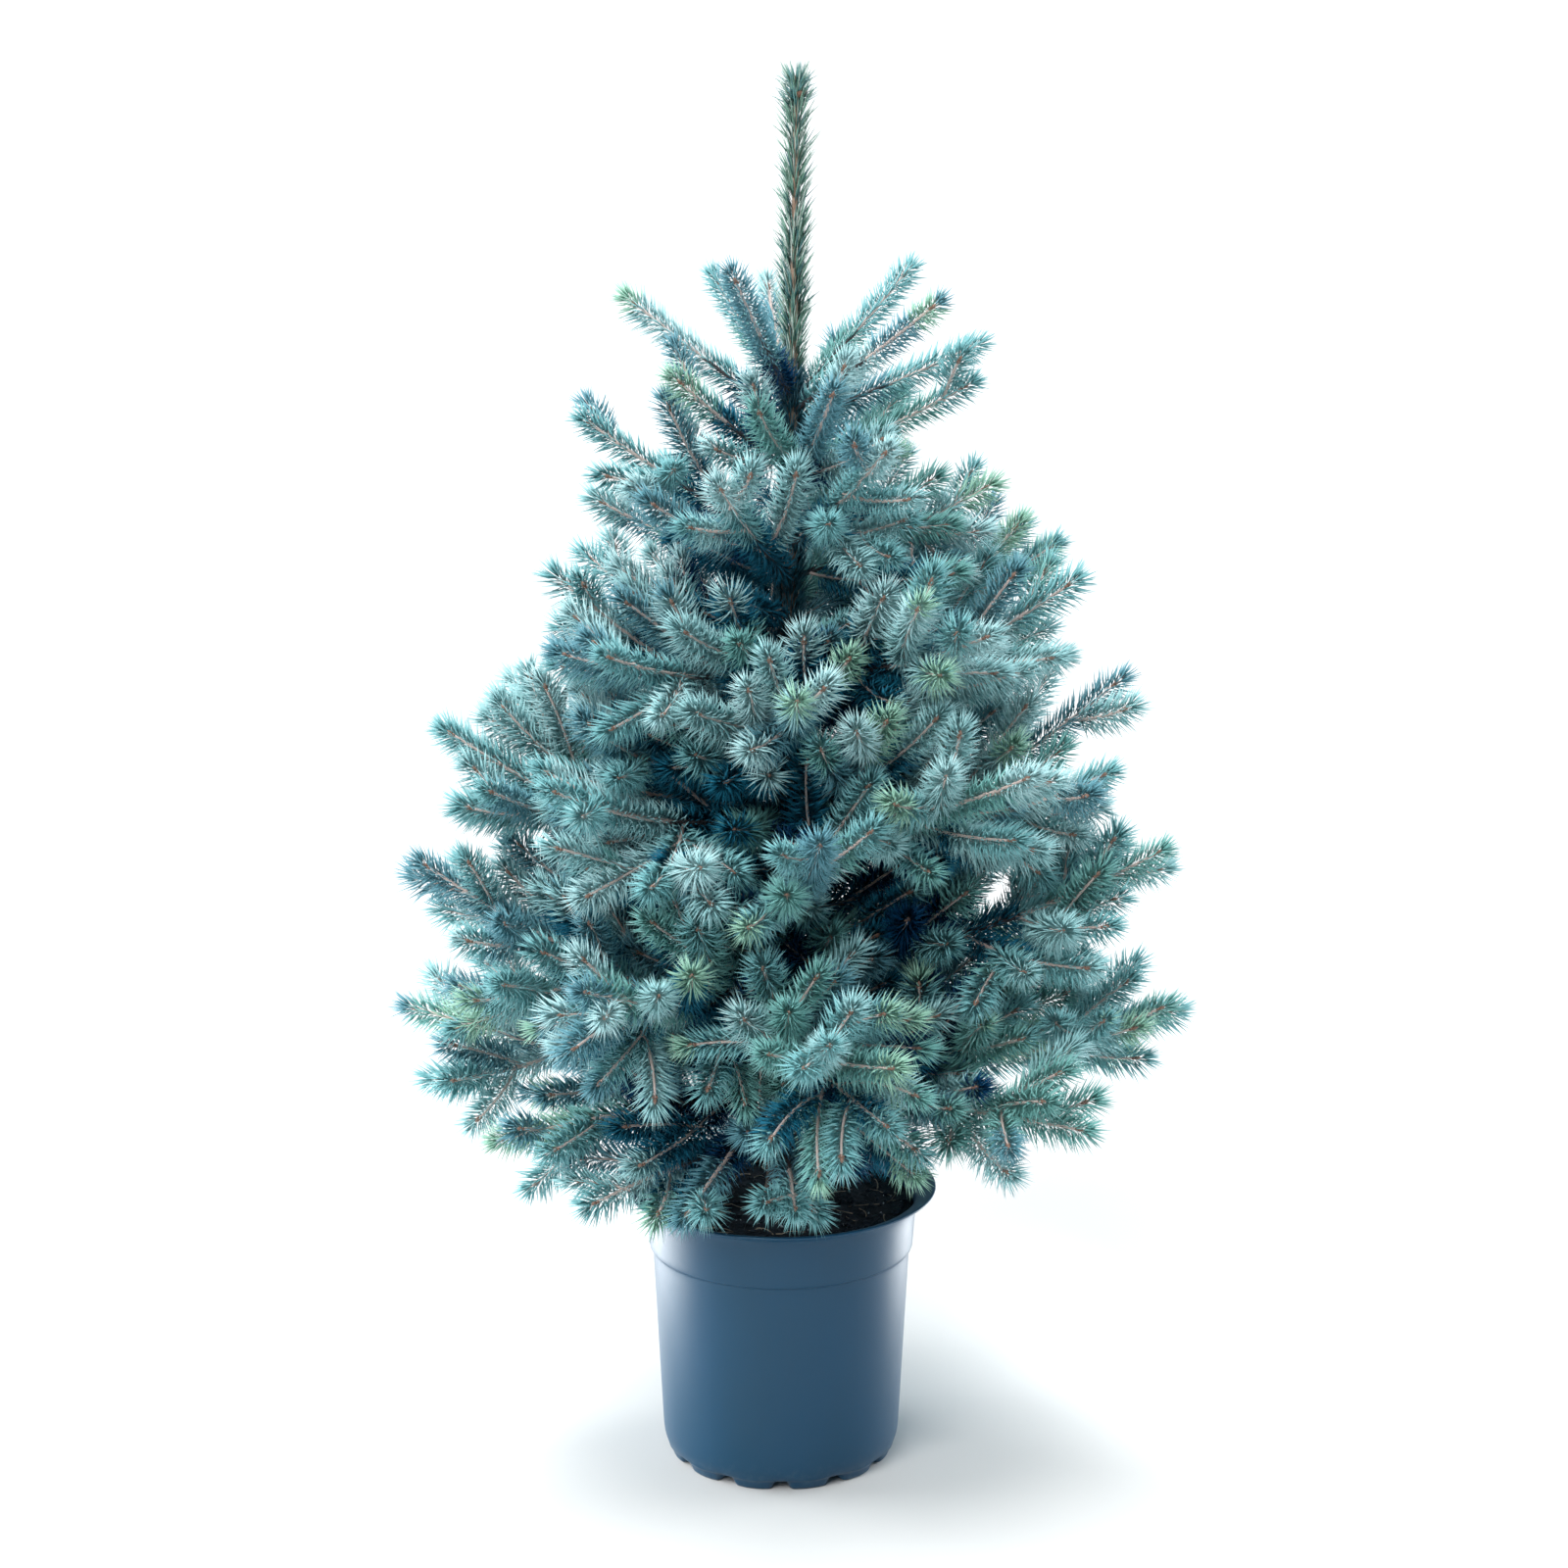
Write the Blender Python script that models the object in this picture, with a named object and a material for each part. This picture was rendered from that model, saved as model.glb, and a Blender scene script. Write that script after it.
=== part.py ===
# A potted blue spruce: a young whole tree in a round nursery pot, as separate closed solids.
# Metres, +Z up. The origin is the centre of the pot's flat underside, -Y is the front
# and azimuths run anticlockwise from +X, so that 270 degrees points to the front.

import math
import random
from collections import namedtuple
from itertools import combinations

import bmesh
import bpy
import numpy as np
from mathutils import Vector

GAP = 0.0003                  # clearance between neighbouring solids
UP = Vector((0.0, 0.0, 1.0))
SEED = 27

# Pot: a turned wall on a ring of feet, with a stepped collar and a thin flared lip
POT_SIDES = 36
COLUMNS_PER_FOOT = 3          # two columns stand on the floor and one is a drain notch
NOTCH_HEIGHT = 0.0065
UNDERSIDE_LIFT = 0.0050
PAD_RADIUS = 0.030            # flat pad under the middle of the pot
FOOT_INNER_RADIUS = 0.0800
FOOT_OUTER_RADIUS = 0.0935
FOOT_TOP_RADIUS = 0.0960
FOOT_TOP = 0.0090
BODY_BASE_RADIUS = 0.1000
BODY_BASE_HEIGHT = 0.0105
BODY_LOW_RADIUS = 0.1035
BODY_LOW_HEIGHT = 0.0230
BODY_TOP_RADIUS = 0.1120
COLLAR_BOTTOM = 0.1915
COLLAR_STEP = 0.0030
COLLAR_TOP_RADIUS = 0.1178
COLLAR_TOP = 0.2290
LIP_RADIUS = 0.1350
LIP_TOP = 0.2460
LIP_WIDTH = 0.0105            # from the lip's edge in to the mouth
LIP_FLARE = (0.0055, 0.0060)  # out from the collar and down from the top, where the flare starts
LIP_EDGE = (0.0005, 0.0022)   # under edge of the lip: in from its radius and down from its top
LIP_ROUND = (0.0012, 0.0008)  # round of its upper edge: in from its radius and down from its top
LIP_DISH = 0.0030             # how far the mouth lies below the lip's top
WALL = 0.0024
FLOOR_TOP = 0.0110
EDGE = 0.0020                 # height of the collar's step, outside and inside
CHAMFER = 0.0030              # slope between the underside and the inner wall of the feet

# Soil: a full plug, domed a little between the trunk and the wall
SOIL_TOP = 0.2310
SOIL_DOME = 0.0015
SOIL_EDGE_DROP = 0.0020
SOIL_EDGE_GAP = 0.0012        # extra room to the collar, which narrows downwards
SOIL_EDGE_HEIGHT = 0.0040
TRUNK_SEAT_RADIUS = 0.032

# Trunk: share of its height against its radius, with the root flare first
TRUNK_BASE = SOIL_TOP + GAP
TRUNK_TOP = 1.1900
TREE_TOP = 1.2055
TRUNK_LEAN = 0.013            # how far the tip stands to the right of the foot
TRUNK_SIDES = 8
TRUNK_SAMPLES = 140           # points of the trunk that shoots keep clear of
TRUNK_RADII = (
    (0.00, 0.0170), (0.008, 0.0150), (0.025, 0.0132), (0.12, 0.0122), (0.25, 0.0110),
    (0.37, 0.0096), (0.50, 0.0080), (0.62, 0.0063), (0.74, 0.0045), (0.80, 0.0034), (1.00, 0.0020),
)

# Whorls, from the top down. A limb is (azimuth, reach, rise): its tip stands that far out
# and up from its whorl's height, and sag bows its middle below the straight line, or above
# it where sag is negative. Neighbours leave the trunk a stagger above and below that height.
Whorl = namedtuple("Whorl", "spray bough height stagger sag root_radius bare sides limbs")
WHORLS = (
    Whorl("top_shoot", None, 0.922, 0.009, 0.010, 0.0022, 0.0, 0, (
        (6, 0.156, 0.054), (40, 0.130, 0.110), (100, 0.124, 0.096), (134, 0.096, 0.106),
        (176, 0.136, 0.093), (246, 0.118, 0.125), (318, 0.156, 0.102))),
    Whorl("upper_shoot", None, 0.862, 0.010, 0.012, 0.0024, 0.0, 2, (
        (66, 0.140, 0.080), (205, 0.106, 0.095), (286, 0.125, 0.095), (352, 0.150, 0.087))),
    Whorl("high_spray", None, 0.795, 0.014, 0.020, 0.0027, 0.0, 4, (
        (16, 0.178, 0.058), (72, 0.190, 0.070), (146, 0.182, 0.028), (186, 0.172, 0.124),
        (250, 0.165, 0.090), (298, 0.165, 0.118))),
    Whorl("middle_spray", None, 0.680, 0.024, 0.050, 0.0032, 0.0, 4, (
        (0, 0.241, 0.100), (32, 0.270, 0.101), (88, 0.245, 0.090), (148, 0.208, 0.102),
        (194, 0.196, 0.112), (230, 0.228, 0.072), (272, 0.215, 0.045), (316, 0.225, 0.085))),
    Whorl("broad_spray", None, 0.550, 0.030, 0.070, 0.0036, 0.0, 5, (
        (8, 0.290, 0.137), (52, 0.290, 0.105), (104, 0.285, 0.125), (155, 0.264, 0.120),
        (184, 0.288, 0.107), (228, 0.280, 0.100), (276, 0.260, 0.070), (314, 0.280, 0.110),
        (345, 0.278, 0.082))),
    Whorl("low_spray", "low_bough", 0.418, 0.024, 0.080, 0.0044, 0.26, 8, (
        (50, 0.320, 0.110), (120, 0.320, 0.135), (186, 0.308, 0.126), (238, 0.300, 0.080),
        (277, 0.300, 0.050), (352, 0.321, 0.140))),
    Whorl("skirt_spray", None, 0.312, 0.018, -0.020, 0.0036, 0.0, 4, (
        (4, 0.343, 0.084), (28, 0.318, 0.088), (74, 0.300, 0.060), (124, 0.300, 0.090),
        (168, 0.336, 0.073), (204, 0.262, 0.010), (222, 0.215, -0.034), (243, 0.180, -0.040),
        (274, 0.160, -0.034), (330, 0.290, 0.032))),
)

# Boughs: plain tapering limbs that end where they enter a spray
BOUGH_SIDES = 6
BOUGH_RINGS = 4
BOUGH_SAMPLES = 14
BOUGH_TIP_RADIUS = 0.0032

# Shoots: a slim core with pointed sprays of needles round it
STEM_SIDES = 4
TWIG_SIDES = 3
CORE_RADIUS = 0.0062
TWIG_ROOT_RADIUS = 0.0020
CORE_END_RADIUS = 0.0030
RING_SPACING = 0.036
BARE_ROOT = 0.016             # bare length before the first needles
SPRAY_REACH = 0.0245          # how far needle sprays stand out from the axis of a shoot
SPRAY_SPREAD = (0.88, 1.04)   # and how that varies
SPRAY_LEAN = 0.010            # and how far their points lean forward
SPRAY_CUTS = (1.0, 0.85, 0.7, 0.56, 0.44, 0.34, 0.26)    # tried in turn until a spray has room
SIBLING_SHARE = 0.55          # share of its own length that it keeps from twigs of its mass
TIP_LENGTH = 0.013
SAMPLE_SPACING = 0.007        # between the points of a shoot's axis

# Side twigs: they leave both sides of a stem in turn, bend forward and lift
TWIG_ANGLE = math.radians(50)
TWIG_ROLLS = (4, 52, -42, 20, -18)    # degrees above the sideways direction, in turn
ROLL_JITTER = 9
TWIG_FORWARD = 0.42
TWIG_LIFT = 0.16
TWIG_SHARES = (0.07, 0.82)    # first and last place along the stem
TWIG_LENGTHS = (0.70, 0.62)   # share of the stem's length at its root, and how fast that falls
SHORTEST_TWIG = 0.045
CUTS = (1.0, 0.82, 0.66, 0.5)         # shares of its full length at which a twig is tried
SHARE_JITTER = 0.02
FUSE_ATTEMPTS = 12            # a mass whose union isn't one closed shell is built again
WHOLE_SHARE = 0.9             # share of its shoots' volumes that a joined shell keeps at least

# Space that shoots keep to
SHOOT_CLEARANCE = 0.024
LIMB_CLEARANCE = 0.016
SPRAY_MARGIN = 0.0025
LIMB_MARGIN = 0.0040
LOWEST_AXIS = 0.262
LOWEST_POINT = 0.2495

# Needles round the leader, in a sleeve that the trunk's tip runs up through
LEADER_FOOT = 0.958
LEADER_SIDES = 6
LEADER_GAPS = 11
LEADER_WALL = 0.0010
LEADER_TOP = TRUNK_TOP + 0.002
LEADER_REACH = 0.0150
LEADER_LEAN = 0.0060          # how far a spray's point rises over its own ring
TUFT_REACH = 0.0190

POT_BLUE = (0.055, 0.105, 0.165)
SOIL_BROWN = (0.020, 0.022, 0.026)
BARK_BROWN = (0.150, 0.095, 0.070)
NEEDLE_BLUE = (0.130, 0.240, 0.245)


def clear_scene():
    for thing in list(bpy.data.objects):
        bpy.data.objects.remove(thing, do_unlink=True)


def make_material(name, colour, roughness):
    material = bpy.data.materials.new(name)
    material.use_nodes = True
    shader = material.node_tree.nodes["Principled BSDF"]
    shader.inputs["Base Color"].default_value = (*colour, 1.0)
    shader.inputs["Roughness"].default_value = roughness
    shader.inputs["Metallic"].default_value = 0.0
    return material


def make_object(name, bm, material, smooth_angle=None):
    mesh = bpy.data.meshes.new(name)
    bm.to_mesh(mesh)
    bm.free()
    mesh.materials.append(material)
    if smooth_angle is not None:
        mesh.shade_smooth()
        mesh.set_sharp_from_angle(angle=math.radians(smooth_angle))
    thing = bpy.data.objects.new(name, mesh)
    bpy.context.scene.collection.objects.link(thing)
    return thing


# Turned solids

def turned_rings(bm, profile, sides):
    # One ring of vertices for each profile point; a point on the axis is a single vertex.
    rings = []
    for radius, height in profile:
        if radius == 0.0:
            rings.append([bm.verts.new((0.0, 0.0, height))])
            continue
        ring = []
        for column in range(sides):
            angle = 2.0 * math.pi * column / sides
            ring.append(bm.verts.new((radius * math.cos(angle), radius * math.sin(angle), height)))
        rings.append(ring)
    return rings


def skin_rings(bm, rings):
    for lower, upper in zip(rings, rings[1:]):
        count = max(len(lower), len(upper))
        for column in range(count):
            after = (column + 1) % count
            if len(lower) == 1:
                bm.faces.new((lower[0], upper[after], upper[column]))
            elif len(upper) == 1:
                bm.faces.new((lower[column], lower[after], upper[0]))
            else:
                bm.faces.new((lower[column], lower[after], upper[after], upper[column]))


def inner_wall(height):
    # Radius of the pot's inside, which follows the outside of the body a wall's thickness in.
    rise = (height - BODY_BASE_HEIGHT) / (COLLAR_BOTTOM - BODY_BASE_HEIGHT)
    return BODY_BASE_RADIUS + (BODY_TOP_RADIUS - BODY_BASE_RADIUS) * rise - WALL


def build_pot(material):
    profile = (
        (0.0, 0.0),
        (PAD_RADIUS, 0.0),
        (PAD_RADIUS + CHAMFER, UNDERSIDE_LIFT),
        (FOOT_INNER_RADIUS - CHAMFER, UNDERSIDE_LIFT),
        (FOOT_INNER_RADIUS, 0.0),
        (FOOT_OUTER_RADIUS, 0.0),
        (FOOT_TOP_RADIUS, FOOT_TOP),
        (BODY_BASE_RADIUS, BODY_BASE_HEIGHT),
        (BODY_LOW_RADIUS, BODY_LOW_HEIGHT),
        (BODY_TOP_RADIUS, COLLAR_BOTTOM),
        (BODY_TOP_RADIUS + COLLAR_STEP, COLLAR_BOTTOM + EDGE),
        (COLLAR_TOP_RADIUS, COLLAR_TOP),
        (COLLAR_TOP_RADIUS + LIP_FLARE[0], LIP_TOP - LIP_FLARE[1]),
        (LIP_RADIUS - LIP_EDGE[0], LIP_TOP - LIP_EDGE[1]),
        (LIP_RADIUS, LIP_TOP - LIP_ROUND[1]),
        (LIP_RADIUS - LIP_ROUND[0], LIP_TOP),
        (LIP_RADIUS - LIP_WIDTH, LIP_TOP - LIP_DISH),
        (COLLAR_TOP_RADIUS - WALL, COLLAR_TOP),
        (inner_wall(COLLAR_BOTTOM), COLLAR_BOTTOM - EDGE),
        (inner_wall(FLOOR_TOP), FLOOR_TOP),
        (0.0, FLOOR_TOP),
    )
    bm = bmesh.new()
    rings = turned_rings(bm, profile, POT_SIDES)
    foot_rings = rings[4:6]       # the inner and outer edge of what the feet stand on
    for ring in foot_rings:
        for column, vertex in enumerate(ring):
            if column % COLUMNS_PER_FOOT == COLUMNS_PER_FOOT - 1:
                vertex.co.z = NOTCH_HEIGHT
    skin_rings(bm, rings)
    return make_object("pot", bm, material, smooth_angle=32)


def build_soil(material):
    clear = 2.0 * GAP
    edge_radius = COLLAR_TOP_RADIUS - WALL - clear - SOIL_EDGE_GAP
    profile = (
        (0.0, FLOOR_TOP + GAP),
        (inner_wall(FLOOR_TOP) - clear, FLOOR_TOP + GAP),
        (inner_wall(COLLAR_BOTTOM) - clear, COLLAR_BOTTOM - EDGE),
        (edge_radius, SOIL_TOP - SOIL_EDGE_DROP - SOIL_EDGE_HEIGHT),
        (edge_radius, SOIL_TOP - SOIL_EDGE_DROP),
        (0.5 * (edge_radius + TRUNK_SEAT_RADIUS), SOIL_TOP + SOIL_DOME),
        (TRUNK_SEAT_RADIUS, SOIL_TOP),
        (0.0, SOIL_TOP),
    )
    bm = bmesh.new()
    skin_rings(bm, turned_rings(bm, profile, POT_SIDES))
    return make_object("soil", bm, material, smooth_angle=40)


# Trunk and limbs

def trunk_share(height):
    return (height - TRUNK_BASE) / (TRUNK_TOP - TRUNK_BASE)


def trunk_centre(height):
    return Vector((TRUNK_LEAN * trunk_share(height), 0.0, height))


def trunk_radius(height):
    share = min(max(trunk_share(height), 0.0), 1.0)
    for (low, low_radius), (high, high_radius) in zip(TRUNK_RADII, TRUNK_RADII[1:]):
        if share <= high:
            return low_radius + (high_radius - low_radius) * (share - low) / (high - low)
    return TRUNK_RADII[-1][1]


def ring_at(bm, centre, normal, radius, sides, turn=0.0):
    # A regular ring of vertices square to the normal, anticlockwise as seen from ahead.
    reference = Vector((1.0, 0.0, 0.0)) if abs(normal.z) > 0.9 else UP
    across = normal.cross(reference).normalized()
    over = normal.cross(across)
    ring = []
    for column in range(sides):
        angle = turn + 2.0 * math.pi * column / sides
        spoke = across * (radius * math.cos(angle)) + over * (radius * math.sin(angle))
        ring.append(bm.verts.new(centre + spoke))
    return ring


def build_tube(name, centres, normals, radii, sides, material):
    bm = bmesh.new()
    rings = [ring_at(bm, centre, normal, radius, sides)
             for centre, normal, radius in zip(centres, normals, radii)]
    bm.faces.new(list(reversed(rings[0])))
    skin_rings(bm, rings)
    bm.faces.new(rings[-1])
    return make_object(name, bm, material, smooth_angle=60)


def build_trunk(material):
    heights = [TRUNK_BASE + share * (TRUNK_TOP - TRUNK_BASE) for share, _ in TRUNK_RADII]
    centres = [trunk_centre(height) for height in heights]
    radii = [radius for _, radius in TRUNK_RADII]
    return build_tube("trunk", centres, [UP] * len(centres), radii, TRUNK_SIDES, material)


class Limb:
    # One member of a whorl: its axis runs from the trunk's surface to the tip of its last needles.
    def __init__(self, whorl, index):
        azimuth, self.reach, rise = whorl.limbs[index]
        count = len(whorl.limbs)
        step = 0 if count % 2 and index == count - 1 else (-1, 1)[index % 2]
        offset = whorl.stagger * step
        self.whorl = whorl
        self.name = f"{whorl.spray}_{index + 1}"
        self.outward = Vector((math.cos(math.radians(azimuth)), math.sin(math.radians(azimuth)), 0.0))
        self.height = whorl.height + offset
        self.rise = rise - offset
        self.foot = trunk_centre(self.height)
        surface = trunk_radius(self.height - whorl.root_radius) + GAP
        self.first = surface / self.reach

    def point(self, t):
        climb = self.rise * t + self.whorl.sag * (t * t - t)
        return self.foot + self.outward * (self.reach * t) + UP * climb

    def slope(self, t):
        climb = self.rise + self.whorl.sag * (2.0 * t - 1.0)
        return (self.outward * self.reach + UP * climb).normalized()


def build_bough(limb, number, material):
    whorl = limb.whorl
    steps = [ring / (BOUGH_RINGS - 1) for ring in range(BOUGH_RINGS)]
    shares = [limb.first + (whorl.bare - limb.first) * step for step in steps]
    radii = [whorl.root_radius + (BOUGH_TIP_RADIUS - whorl.root_radius) * step for step in steps]
    normals = [limb.outward] + [limb.slope(share) for share in shares[1:]]
    centres = [limb.point(share) for share in shares]
    return build_tube(f"{whorl.bough}_{number}", centres, normals, radii, BOUGH_SIDES, material)


# Shoots

class Shoot:
    # The axis of one stem or side twig, as evenly spaced points.
    def __init__(self, mass, points, root_normal, root_radius, sides):
        self.mass = mass
        self.points = points
        self.root_normal = root_normal
        self.root_radius = root_radius
        self.sides = sides
        self.length = sum((b - a).length for a, b in zip(points, points[1:]))

    def at(self, share):
        place = min(max(share, 0.0), 1.0) * (len(self.points) - 1)
        index = min(int(place), len(self.points) - 2)
        return self.points[index].lerp(self.points[index + 1], place - index)

    def heading(self, share):
        step = 0.5 / (len(self.points) - 1)
        return (self.at(share + step) - self.at(share - step)).normalized()


def sample_count(length):
    return max(4, round(length / SAMPLE_SPACING))


def stem_shoot(limb, mass):
    whorl = limb.whorl
    start = limb.first
    root_normal = limb.outward
    root_radius = whorl.root_radius
    if whorl.bough:
        start = whorl.bare + GAP / limb.reach
        root_normal = limb.slope(whorl.bare)
        root_radius = BOUGH_TIP_RADIUS
    count = sample_count(limb.reach)
    points = [limb.point(start + (1.0 - start) * step / count) for step in range(count + 1)]
    return Shoot(mass, points, root_normal, root_radius, STEM_SIDES)


def twig_points(stem, share, side, roll, length):
    tangent = stem.heading(share)
    sideways = tangent.cross(UP).normalized() * side
    above = sideways.cross(tangent) * side
    outward = sideways * math.cos(roll) + above * math.sin(roll)
    heading = tangent * math.cos(TWIG_ANGLE) + outward * math.sin(TWIG_ANGLE)
    bend = tangent * TWIG_FORWARD + UP * TWIG_LIFT
    bend -= heading * bend.dot(heading)
    start = stem.at(share)
    count = sample_count(length)
    points = []
    for step in range(count + 1):
        t = step / count
        points.append(start + heading * (length * t) + bend * (0.5 * length * t * t))
    return points, heading


class Space:
    # Every axis placed so far, for telling how near a point comes to what isn't its own.
    def __init__(self):
        self.points = []
        self.radii = []
        self.masses = []
        self.shoots = []
        self.places = []

    def add(self, points, radii, mass, shoot):
        self.points.extend(tuple(point) for point in points)
        self.radii.extend(radii)
        self.masses.extend([mass] * len(points))
        self.shoots.extend([shoot] * len(points))
        self.places.extend(range(len(points)))

    def freeze(self):
        self.point_array = np.array(self.points)
        self.radius_array = np.array(self.radii)
        self.mass_array = np.array(self.masses)
        self.shoot_array = np.array(self.shoots)
        self.place_array = np.array(self.places)

    def distances(self, point):
        return np.linalg.norm(self.point_array - np.array(tuple(point)), axis=1)


LIMB_MASS = -1                # marks the axes of the trunk and boughs


def twig_is_clear(space, points, mass):
    own = space.mass_array == mass
    limbs = space.mass_array == LIMB_MASS
    others = ~own & ~limbs
    for index, point in enumerate(points):
        if point.z < LOWEST_AXIS:
            return False
        gaps = space.distances(point) - space.radius_array
        if gaps[others].min() < SHOOT_CLEARANCE:
            return False
        if gaps[limbs].min() < LIMB_CLEARANCE:
            return False
        if index > len(points) // 2 and gaps[own].min() < 0.5 * SHOOT_CLEARANCE:
            return False
    return True


def grow_twigs(stems, counts, space, draw):
    # Masses take turns, so that none takes all the room; a twig that finds no room is skipped.
    shoots = list(stems)
    for turn in range(max(counts)):
        for mass, stem in enumerate(stems):
            side = 1 if (turn + mass) % 2 else -1
            roll = TWIG_ROLLS[turn % len(TWIG_ROLLS)] + draw.uniform(-ROLL_JITTER, ROLL_JITTER)
            jitter = draw.uniform(-SHARE_JITTER, SHARE_JITTER)
            if turn >= counts[mass]:
                continue
            spread = turn / max(counts[mass] - 1, 1)
            share = TWIG_SHARES[0] + (TWIG_SHARES[1] - TWIG_SHARES[0]) * spread + jitter
            full = (TWIG_LENGTHS[0] - TWIG_LENGTHS[1] * share) * stem.length
            for cut in CUTS:
                length = max(full * cut, SHORTEST_TWIG)
                points, heading = twig_points(stem, share, side, math.radians(roll), length)
                if twig_is_clear(space, points, mass):
                    twig = Shoot(mass, points, heading, TWIG_ROOT_RADIUS, TWIG_SIDES)
                    space.add(points, [0.0] * len(points), mass, len(shoots))
                    space.freeze()
                    shoots.append(twig)
                    break
    return shoots


def spray_tip(space, shoot_index, shoot, base, direction, heading, reach):
    # The point of one spray, drawn in until it is nearer to its own shoot than to any other.
    own_mass = space.mass_array == shoot.mass
    limbs = space.mass_array == LIMB_MASS
    siblings = own_mass & (space.shoot_array != shoot_index) & (space.place_array > 1)
    others = ~own_mass & ~limbs
    for cut in SPRAY_CUTS:
        tip = base + direction * (reach * cut) + heading * (SPRAY_LEAN * cut)
        own_gap = (tip - base).length
        if tip.z < LOWEST_POINT:
            continue
        gaps = space.distances(tip) - space.radius_array
        if gaps[others].min() < own_gap + SPRAY_MARGIN:
            continue
        if gaps[limbs].min() < LIMB_MARGIN:
            continue
        if siblings.any() and gaps[siblings].min() < SIBLING_SHARE * own_gap:
            continue
        return tip
    return base + direction * CORE_RADIUS


def build_shoot(name, index, shoot, space, material, draw):
    sides = shoot.sides
    core_length = shoot.length - TIP_LENGTH
    gaps = max(2, round((core_length - BARE_ROOT) / RING_SPACING))
    stations = [0.0] + [BARE_ROOT + (core_length - BARE_ROOT) * step / gaps for step in range(gaps + 1)]
    turn = draw.uniform(0.0, 2.0 * math.pi)
    half_side = math.pi / sides
    bm = bmesh.new()
    rings = []
    for number, station in enumerate(stations):
        share = station / shoot.length
        normal = shoot.heading(share) if number else shoot.root_normal
        if number == 0:
            radius = shoot.root_radius
        else:
            fall = (number - 1) / gaps
            radius = CORE_RADIUS + (CORE_END_RADIUS - CORE_RADIUS) * fall
            turn += 0.5 * half_side
        rings.append(ring_at(bm, shoot.at(share), normal, radius, sides, turn))
    bm.faces.new(list(reversed(rings[0])))
    skin_rings(bm, rings[:2])
    for number in range(1, len(rings) - 1):
        lower, upper = rings[number], rings[number + 1]
        share = 0.5 * (stations[number] + stations[number + 1]) / shoot.length
        base = shoot.at(share)
        heading = shoot.heading(share)
        for column in range(sides):
            after = (column + 1) % sides
            corners = (lower[column], lower[after], upper[after], upper[column])
            middle = sum((corner.co for corner in corners), Vector()) / 4.0
            direction = middle - base
            direction -= heading * direction.dot(heading)
            direction.normalize()
            reach = SPRAY_REACH * draw.uniform(*SPRAY_SPREAD)
            tip = bm.verts.new(spray_tip(space, index, shoot, base, direction, heading, reach))
            for corner, following in zip(corners, corners[1:] + corners[:1]):
                bm.faces.new((corner, following, tip))
    end = bm.verts.new(shoot.at(1.0))
    for column in range(sides):
        bm.faces.new((rings[-1][column], rings[-1][(column + 1) % sides], end))
    return make_object(name, bm, material)


def triangulate_closed(mesh):
    # Triangulates a fused mesh. Where two neighbouring faces were cut along the same diagonal,
    # one of them is cut along its other diagonal, so that every edge keeps two faces.
    bm = bmesh.new()
    bm.from_mesh(mesh)
    source = bm.faces.layers.int.new("source")
    for number, face in enumerate(bm.faces):
        face[source] = number
    bmesh.ops.triangulate(bm, faces=bm.faces)
    for edge in [edge for edge in bm.edges if len(edge.link_faces) > 2]:
        first, partner = next(pair for pair in combinations(edge.link_faces, 2)
                              if pair[0][source] == pair[1][source])
        start, end = edge.verts
        loops = {loop.vert: loop.link_loop_next.vert for loop in first.loops}
        if loops[start] != end:
            start, end = end, start
        above = next(vertex for vertex in first.verts if vertex not in edge.verts)
        below = next(vertex for vertex in partner.verts if vertex not in edge.verts)
        bm.faces.remove(first)
        bm.faces.remove(partner)
        bm.faces.new((start, below, above))
        bm.faces.new((below, end, above))
    closed = len(bm.faces) > 0 and all(edge.is_contiguous for edge in bm.edges)
    bm.faces.layers.int.remove(source)
    bm.to_mesh(mesh)
    bm.free()
    return closed


def fuse(stem, twigs):
    # One union on a collection joins a stem and its twigs.
    if not twigs:
        return
    group = bpy.data.collections.new(stem.name + "_twigs")
    for twig in twigs:
        group.objects.link(twig)
    union = stem.modifiers.new("fuse", "BOOLEAN")
    union.operation = "UNION"
    union.operand_type = "COLLECTION"
    union.collection = group
    union.solver = "EXACT"
    with bpy.context.temp_override(object=stem):
        bpy.ops.object.modifier_apply(modifier=union.name)
    for twig in twigs:
        bpy.data.objects.remove(twig, do_unlink=True)
    bpy.data.collections.remove(group)
    drop_scraps(stem.data)


def enclosed_volume(mesh):
    bm = bmesh.new()
    bm.from_mesh(mesh)
    volume = bm.calc_volume(signed=True)
    bm.free()
    return volume


def drop_scraps(mesh):
    # Keeps the one large shell and drops any loose crumb.
    bm = bmesh.new()
    bm.from_mesh(mesh)
    left = set(bm.verts)
    shells = []
    while left:
        shell = {left.pop()}
        edge_of_shell = list(shell)
        while edge_of_shell:
            vertex = edge_of_shell.pop()
            for edge in vertex.link_edges:
                other = edge.other_vert(vertex)
                if other not in shell:
                    shell.add(other)
                    edge_of_shell.append(other)
        left -= shell
        shells.append(shell)
    shells.sort(key=len, reverse=True)
    for shell in shells[1:]:
        bmesh.ops.delete(bm, geom=list(shell), context="VERTS")
    bm.to_mesh(mesh)
    bm.free()


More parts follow.
